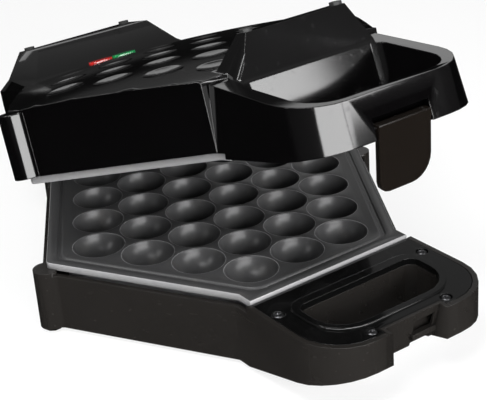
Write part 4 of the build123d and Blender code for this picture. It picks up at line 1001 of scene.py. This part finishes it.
@dataclass
class DomedTop:
    """Smooth domed top of the lid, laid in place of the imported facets.

    A shallow dimple lies over each pit, apart from the pits of the rows left out at the rear.
    """

    field_layout: CookingField
    frame: Matrix
    crown: float = 50.0 * MM
    radius: float = 1040.0 * MM
    dimple_radius: float = 11.5 * MM
    dimple_depth: float = 1.3 * MM
    rows_left_out: int = 1
    grid: float = 4.0 * MM
    border_step: float = 2.5 * MM
    segments: int = 36
    rings: tuple[float, ...] = (0.3, 0.6, 0.82, 0.94, 1.0, 1.06)
    ring_gap: float = 0.06
    grid_reach: float = 130.0 * MM
    least_upright: float = 0.9
    above: float = 0.1 * MM
    below: float = 0.8 * MM

    def dome(self, x: float, y: float) -> float:
        """Return the height of the plain dome."""
        return self.crown - self.radius + math.sqrt(self.radius**2 - x * x - y * y)

    def height(self, x: float, y: float, centres: Sequence[Point]) -> float:
        """Return the height of the dome with its dimples."""
        ball = (self.dimple_radius**2 + self.dimple_depth**2) / (2 * self.dimple_depth)
        for cx, cy in centres:
            away = math.hypot(x - cx, y - cy)
            if away < self.dimple_radius:
                return self.dome(x, y) - (math.sqrt(ball**2 - away**2) - ball + self.dimple_depth)
        return self.dome(x, y)

    def is_old(self, face: BMFace) -> bool:
        """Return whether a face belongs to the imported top."""
        deepest = self.dimple_depth + self.below
        drops = [self.dome(v.co.x, v.co.y) - v.co.z for v in face.verts if v.co.xy.length < self.radius]
        if not drops or face.normal.z <= self.least_upright:
            return False
        return min(drops) > -self.above and max(drops) < deepest

    def lay(self, shape: BMesh) -> None:
        """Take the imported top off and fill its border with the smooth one."""
        shape.transform(self.frame.inverted())
        shape.normal_update()
        old = [face for face in shape.faces if self.is_old(face)]
        bmesh.ops.delete(shape, geom=old, context="FACES")
        for edge in [edge for edge in shape.edges if edge.is_boundary]:
            parts = math.ceil(edge.calc_length() / self.border_step)
            for k in range(parts, 1, -1):
                edge, _ = bmesh.utils.edge_split(edge, edge.verts[0], 1 / k)
        border = {vert for edge in shape.edges if edge.is_boundary for vert in edge.verts}
        for vert in border:
            vert.co.z = self.dome(vert.co.x, vert.co.y)
        self._fill(shape, border)
        shape.transform(self.frame)
        shape.normal_update()

    def _fill(self, shape: BMesh, found: set[BMVert]) -> None:
        """Fill the border with a fine sheet that follows the dome and its dimples."""
        shape.verts.index_update()
        border = sorted(found, key=lambda vert: vert.index)
        place = {vert: k for k, vert in enumerate(border)}
        edges = [tuple(place[v] for v in edge.verts) for edge in shape.edges if edge.is_boundary]
        loops = self._loops(edges, len(border))
        centres = self.field_layout.centres(self.rows_left_out)
        points = [Vector(vert.co.xy) for vert in border]
        points += self._inside_points(points, centres)
        spots, _, faces, sources, *_ = delaunay_2d_cdt(points, edges, [], FILL_INSIDE, SAME_POINT)
        made: dict[int, BMVert] = {}
        for k, spot in enumerate(spots):
            own = [source for source in sources[k] if source < len(border)]
            if own:
                made[k] = border[own[0]]
        outer = max(set(loops), key=loops.count)
        for corners in faces:
            rims = [loops[place[made[k]]] if k in made and made[k] in place else -1 for k in corners]
            if rims[0] != -1 and rims[0] != outer and len(set(rims)) == 1:
                continue
            for k in corners:
                if k not in made:
                    x, y = spots[k]
                    made[k] = shape.verts.new((x, y, self.height(x, y, centres)))
            face = shape.faces.new([made[k] for k in corners])
            face.normal_update()
            if face.normal.z < 0:
                face.normal_flip()

    def _loops(self, edges: Sequence[tuple[int, int]], count: int) -> list[int]:
        """Number the closed loops of the border and return each point's loop."""
        leader = list(range(count))
        for first, second in edges:
            a, b = leader[first], leader[second]
            if a != b:
                leader = [a if value == b else value for value in leader]
        return leader

    def _inside_points(self, border: Sequence[Vector], centres: Sequence[Point]) -> list[Vector]:
        """Return the points of the dimples' rings and of a grid between them."""
        points = []
        turns = steps_between(0.0, math.tau, self.segments)[:-1]
        for cx, cy in centres:
            points.append(Vector((cx, cy)))
            for share in self.rings:
                points += [Vector(spot) for spot in on_circle(cx, cy, self.dimple_radius * share, turns)]
        clear = self.dimple_radius * (self.rings[-1] + self.ring_gap)
        steps = int(self.grid_reach / self.grid)
        for i in range(-steps, steps + 1):
            for j in range(-steps, steps + 1):
                spot = Vector((i * self.grid, j * self.grid))
                if any(math.hypot(spot.x - cx, spot.y - cy) < clear for cx, cy in centres):
                    continue
                if min((spot - point).length for point in border) > self.grid * 0.5:
                    points.append(spot)
        return points


@dataclass
class LidLugs:
    """Round lugs at the lid's side tips, joined to its walls by hollow fillets."""

    frame: Matrix
    apothem: float = 105.0 * MM
    reach: float = 126.2 * MM
    radius: float = 7.5 * MM
    fillet: float = 4.0 * MM
    low: float = 5.0 * MM
    high: float = 42.4 * MM
    root: float = 1.2 * MM
    soft: float = 0.8 * MM
    steps: int = 24
    fillet_steps: int = 8
    sharp: float = 50.0

    def outline(self) -> list[Point]:
        """Return the right-hand lug's outline, from its lower root round to its upper root."""
        middle = self.reach - self.radius
        out = self.apothem + self.fillet
        gap = (self.radius + self.fillet) ** 2 - (out - middle * math.cos(HEX_LEAN)) ** 2
        along = math.sqrt(gap) - middle * math.sin(HEX_LEAN)
        x = out * math.cos(HEX_LEAN) - along * math.sin(HEX_LEAN)
        y = out * math.sin(HEX_LEAN) + along * math.cos(HEX_LEAN)
        start = math.atan2(-math.sin(HEX_LEAN), -math.cos(HEX_LEAN))
        end = math.atan2(-y, middle - x)
        upper = on_circle(x, y, self.fillet, steps_between(start, end, self.fillet_steps))
        upper.insert(0, (upper[0][0] - self.root, upper[0][1] - self.root * math.sin(HEX_LEAN)))
        touch = math.atan2(upper[-1][1], upper[-1][0] - middle)
        circle = on_circle(middle, 0.0, self.radius, steps_between(-touch, touch, self.steps)[1:-1])
        return [(x, -y) for x, y in upper] + circle + upper[::-1]

    def build(self, name: str, material: Material) -> Object:
        """Make both lugs.

        Args:
            name: The piece's name.
            material: Its material.

        Returns:
            The lugs as one object.
        """
        shape = bmesh.new()
        outline = self.outline()
        middle = sum(x for x, _ in outline) / len(outline)
        for side in (1, -1):
            rings = []
            for inset, height in ((0.0, self.low), (0.0, self.high - self.soft), (self.soft, self.high)):
                share = 1 - inset / self.radius
                ring = [(side * (middle + (x - middle) * share), y * share, height) for x, y in outline]
                rings.append([shape.verts.new(spot) for spot in ring])
            join_rings(shape, rings)
            shape.faces.new(rings[0])
            shape.faces.new(rings[-1])
        bmesh.ops.recalc_face_normals(shape, faces=shape.faces)
        mesh = mesh_of(name, shape, self.frame, self.sharp)
        return new_piece(name, area_shaded(mesh), [material])


class Facing(Enum):
    """Which way a screw's head looks in its half's own frame."""

    UP = 1
    DOWN = -1


@dataclass
class CrossScrews:
    """Pan-head screws with a cross recess, set at a list of places."""

    head_radius: float = 2.9 * MM
    head_height: float = 1.3 * MM
    shank_radius: float = 1.5 * MM
    slot_width: float = 0.95 * MM
    slot_reach: float = 1.75 * MM
    slot_depth: float = 0.9 * MM
    slot_taper: float = 0.7
    length: float = 9.0 * MM
    tip_share: float = 0.6
    tip_length: float = 1.0 * MM
    soft_share: float = 0.18
    soft_steps: tuple[Point, ...] = ((0.0, 2.0), (0.35, 1.0), (1.1, 0.35), (2.0, 0.1))
    steps: int = 24
    seed: int = 7
    sharp: float = 35.0

    def cross(self) -> list[Point]:
        """Return the outline of the cross, a quarter at a time."""
        half = self.slot_width / 2
        reach = self.slot_reach
        quarter = [(half, -reach), (half, -half), (reach, -half)]
        outline = []
        for _ in range(4):
            outline += quarter
            quarter = [(-y, x) for x, y in quarter]
        return outline

    def head(self) -> Mesh:
        """Return one screw, the underside of its head at the origin, with a cross cut into its crown."""
        shape = bmesh.new()
        crown = self.head_height
        soft = self.head_radius * self.soft_share
        sections = [
            (self.shank_radius * self.tip_share, -self.length),
            (self.shank_radius, -self.length + self.tip_length),
            (self.shank_radius, 0.0),
            (self.head_radius, 0.0),
        ]
        for inward, down in self.soft_steps:
            sections.append((self.head_radius - inward * soft, crown - down * soft))
        turns = steps_between(0.0, math.tau, self.steps)[:-1]
        rings = []
        for radius, height in sections:
            rings.append([shape.verts.new((x, y, height)) for x, y in on_circle(0.0, 0.0, radius, turns)])
        join_rings(shape, rings)
        shape.faces.new(rings[0][::-1])
        top = [shape.verts.new((x, y, crown)) for x, y in self.cross()]
        taper = self.slot_taper
        deep = [shape.verts.new((x * taper, y * taper, crown - self.slot_depth)) for x, y in self.cross()]
        for k in range(len(top)):
            shape.faces.new((top[k], top[k - 1], deep[k - 1], deep[k]))
        shape.faces.new(deep)
        open_edges = []
        for ring in (rings[-1], top):
            open_edges += [shape.edges.get((ring[k - 1], ring[k])) for k in range(len(ring))]
        bmesh.ops.triangle_fill(shape, use_beauty=True, edges=open_edges)
        bmesh.ops.recalc_face_normals(shape, faces=shape.faces)
        return mesh_of("screw", shape, Matrix.Identity(4), self.sharp)

    def build(
        self,
        name: str,
        places: Sequence[tuple[float, float, float]],
        facing: Facing,
        frame: Matrix,
        material: Material,
    ) -> Object:
        """Set a screw at every place.

        Args:
            name: The piece's name.
            places: Undersides of the heads, in the half's own frame.
            facing: Which way the heads look.
            frame: The half's frame.
            material: The screws' material.

        Returns:
            All the screws as one object.
        """
        template = bpy.data.objects.new("screw_template", self.head())
        tool = NodeTool("set_screws")
        source = tool.size("Screw", "NodeSocketObject", template)
        seed = tool.size("Turn Seed", "NodeSocketInt", self.seed)
        flip = tool.size("Flip", "NodeSocketFloat", 0.0 if facing is Facing.UP else math.pi)
        screw = tool.node("GeometryNodeObjectInfo", values={"Object": source}, output="Geometry")
        # The decimal maximum is the random node's input 3, and its decimal value is output 1.
        spin = tool.node(
            "FunctionNodeRandomValue", {"data_type": "FLOAT"}, {3: math.tau, "Seed": seed}, output=1
        )
        turn = tool.node("ShaderNodeCombineXYZ", values={"X": flip, "Z": spin})
        spread = tool.node(
            "GeometryNodeInstanceOnPoints",
            values={"Points": tool.given("Geometry"), "Instance": screw, "Rotation": turn},
        )
        tool.finish(spread, material)
        mesh = tool.apply(point_mesh(places))
        bpy.data.objects.remove(template)
        mesh.transform(frame)
        smooth_below(mesh, self.sharp)
        return new_piece(name, mesh, [material])


@dataclass
class Half:
    """What the base and the lid share: a cast plate and covers that are held by screws."""

    model: Model
    plate: CastPlate
    coat: Material
    seat: float = 1.2 * MM
    side_screw: Point = (51.5 * MM, -135.0 * MM)
    front_screw: Point = (26.0 * MM, -181.0 * MM)

    def _cast(self, side: str, frame: Matrix) -> None:
        """Make the smooth plate of the lower or the upper side."""
        bare = self.model.finishes.of(Part.PLATE)
        self.model.settle(self.plate.build(f"{side}_cast_plate", frame, bare, self.coat), f"{side}_plate")

    def _inside(self, side: str, *more: str) -> None:
        """Repaint the pieces that both sides hold under their plate, and more of this half's own."""
        under = ("plate_screws", "heater", "heater_clamps", "reflector", "thermostat")
        self.model.repaint(*(f"{side}_{name}" for name in under), *more)

    def _screws(self, node: str, facing: Facing, height: float, *spots: Point) -> None:
        """Set the screws that stand for a node, a mirrored pair for each spot."""
        model = self.model
        places = [(x, y, height) for spot in spots for x, y in both_sides(*spot)]
        frame = model.base if facing is Facing.UP else model.lid
        piece = CrossScrews().build(f"{node}_cross", places, facing, frame, model.finishes.of(Part.SCREW))
        model.settle(piece, node)


@dataclass
class BaseHalf(Half):
    """The base: shell, covers, screws, lower plate and what is inside."""

    panel_top: float = -2.0 * MM
    rear_top: float = -2.5 * MM
    rear_screw: Point = (18.0 * MM, 135.0 * MM)
    lug_x: float = 100.0 * MM
    lug_top: float = -3.4 * MM

    def _lower_lugs(self, shape: BMesh) -> None:
        """Lower the tops of the side lugs to the photographed height."""
        top = (self.model.base @ Vector((0.0, 0.0, self.lug_top))).z
        for vert in shape.verts:
            if abs(vert.co.x) > self.lug_x and vert.co.z > top:
                vert.co.z = top

    def build(self) -> None:
        """Make and dress every piece of the base."""
        model = self.model
        model.smooth_copy("base_shell", rework=self._lower_lugs)
        model.smooth_copies("base_handle_panel", "base_rear_panel", "rubber_feet", "cord_gland")
        self._cast("lower", model.lower_plate)
        height = self.panel_top - self.seat
        self._screws("base_handle_screws", Facing.UP, height, self.side_screw, self.front_screw)
        self._screws("base_rear_screws", Facing.UP, self.rear_top - self.seat, self.rear_screw)
        self._inside("lower", "thermal_fuse", "terminal_block", "base_wiring")


@dataclass
class LidHalf(Half):
    """The lid: shell, covers, screws, upper plate, lamps and what is inside."""

    low: float = 2.0 * MM
    rear_screw: Point = (18.0 * MM, 124.0 * MM)

    def build(self) -> None:
        """Make and dress every piece of the lid."""
        model = self.model
        model.smooth_copy("lid_shell", rework=DomedTop(self.plate.field_layout, model.lid).lay)
        lugs = LidLugs(model.lid).build("lid_side_lugs", model.finishes.of(Part.LID))
        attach(lugs, "lid")
        model.smooth_copies(
            "lid_handle_panel", "lid_rear_panel", "lid_nubs", "red_lens", "green_lens", "latch_pin"
        )
        self._cast("upper", model.upper_plate)
        height = self.low + self.seat
        self._screws("lid_handle_screws", Facing.DOWN, height, self.side_screw, self.front_screw)
        self._screws("lid_rear_screws", Facing.DOWN, height, self.rear_screw)
        self._inside("upper", "lamp_holder", "neon_lamps", "lid_wiring")


@dataclass(frozen=True)
class SoftLamp:
    """A rectangular studio lamp aimed at the object."""

    name: str
    place: Colour
    width: float
    height: float
    power: float
    aim: Colour = (0.0, 0.0, 0.1)

    def hang(self) -> None:
        """Hang the lamp and aim it."""
        data = bpy.data.lights.new(self.name, "AREA")
        data.shape = "RECTANGLE"
        data.size = self.width
        data.size_y = self.height
        data.energy = self.power
        lamp = bpy.data.objects.new(self.name, data)
        bpy.context.scene.collection.objects.link(lamp)
        lamp.location = self.place
        lamp.rotation_euler = (Vector(self.aim) - Vector(self.place)).to_track_quat("-Z", "Y").to_euler()


@dataclass
class Studio:
    """Floor, backdrop, lamps, world and the camera of the photograph."""

    model: Model
    floor_colour: Colour = (0.92, 0.92, 0.92)
    floor_reach: float = 20.0
    horizon: float = 0.06
    ceiling: float = 0.4
    camera_white: float = 0.8
    mirror_dark: float = 0.99
    eye: Colour = (-406.81 * MM, -632.88 * MM, 363.74 * MM)
    ahead: Colour = (0.50580, 0.74398, -0.43664)
    roll: float = math.radians(-4.27)
    lens: float = 98.95
    sensor: float = 36.0

    def build(self) -> None:
        """Set the stage, the light and the camera."""
        self._camera()
        self._floor()
        self._world()
        for lamp in (
            SoftLamp("top_lamp", (-0.50, -0.22, 1.15), width=0.6, height=0.4, power=11.0),
            SoftLamp(
                "front_lamp", (-0.19, -1.17, 0.37), width=1.14, height=0.5, power=21.0, aim=(-0.02, 0.0, 0.1)
            ),
            SoftLamp("ridge_lamp", (0.505, -1.027, 0.52), width=0.345, height=0.27, power=3.4),
            SoftLamp("rear_lamp", (0.74, 1.27, 0.54), width=1.3, height=0.3, power=1.0),
            SoftLamp("left_lamp", (-1.00, 0.10, 0.80), width=0.12, height=0.5, power=2.6),
        ):
            lamp.hang()
        bpy.context.scene.view_settings.view_transform = "Standard"

    def _camera(self) -> None:
        """Set the camera fitted to the photograph."""
        ahead = Vector(self.ahead).normalized()
        level = ahead.cross(Vector((0.0, 0.0, 1.0))).normalized()
        upright = level.cross(ahead)
        across = math.cos(self.roll) * level + math.sin(self.roll) * upright
        up = -math.sin(self.roll) * level + math.cos(self.roll) * upright
        turn = Matrix((across, up, -ahead)).transposed().to_4x4()
        data = bpy.data.cameras.new("photo_camera")
        data.lens = self.lens
        data.sensor_width = self.sensor
        data.sensor_fit = "HORIZONTAL"
        data.clip_start = 0.01
        camera = bpy.data.objects.new("photo_camera", data)
        camera.matrix_world = Matrix.Translation(self.model.base @ Vector(self.eye)) @ turn
        bpy.context.scene.collection.objects.link(camera)
        bpy.context.scene.camera = camera

    def _floor(self) -> None:
        """Lay a wide pale floor."""
        reach = self.floor_reach
        mesh = bpy.data.meshes.new("studio_floor")
        corners = [(-reach, -reach, 0.0), (reach, -reach, 0.0), (reach, reach, 0.0), (-reach, reach, 0.0)]
        mesh.from_pydata(corners, [], [(0, 1, 2, 3)])
        graph = Graph("studio_paper")
        graph.set(Base_Color=self.floor_colour, Roughness=0.9, Specular_IOR_Level=0.1)
        self._whiten(graph)
        floor = new_piece("studio_floor", mesh, [graph.material])

    def _whiten(self, graph: Graph) -> None:
        """Let the camera's own rays see a material mixed with white, and mirror rays see it nearly black."""
        under = Signal(graph, graph.shader.outputs["BSDF"])
        for seen, grey, share in (
            ("Is Camera Ray", 1.0, self.camera_white),
            ("Is Glossy Ray", 0.0, self.mirror_dark),
        ):
            plain = graph.node("ShaderNodeEmission", values={"Strength": grey})
            factor = graph.node("ShaderNodeLightPath", output=seen) * share
            under = graph.node("ShaderNodeMixShader", values={0: factor, 1: under, 2: plain})
        graph.feed(graph.end.inputs["Surface"], under)

    def _world(self) -> None:
        """Fill the room with a soft light, brighter overhead, that the camera itself sees as white."""
        world = bpy.data.worlds.new("studio_air")
        world.use_nodes = True
        air = Tree(world.node_tree)
        way = air.node("ShaderNodeTexCoord", output="Generated")
        height = air.node("ShaderNodeSeparateXYZ", values={0: way}, output="Z")
        light = air.node(
            "ShaderNodeMapRange",
            values={"Value": height, "From Max": 1.0, "To Min": self.horizon, "To Max": self.ceiling},
        )
        seen = air.node("ShaderNodeLightPath", output="Is Camera Ray")
        background = air.tree.nodes["Background"]
        air.feed(background.inputs["Strength"], light.maths("MAXIMUM", seen))
        background.inputs["Color"].default_value = (1.0, 1.0, 1.0, 1.0)
        bpy.context.scene.world = world


def main() -> None:
    """Load the model, dress its halves and set the studio."""
    logging.basicConfig(level=logging.INFO, format="%(name)s: %(message)s")
    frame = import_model()
    finishes = Finishes()
    finishes.paint()
    model = Model(frame, finishes)
    coat = NonStickCoat().paint()
    plate = CastPlate(CookingField())
    Studio(model).build()
    BaseHalf(model, plate, coat).build()
    model.smooth_copies("hinge_rod", "hinge_clips")
    LidHalf(model, plate, coat).build()
    model.smooth_copies("latch_flap")


if __name__ == "__main__":
    main()
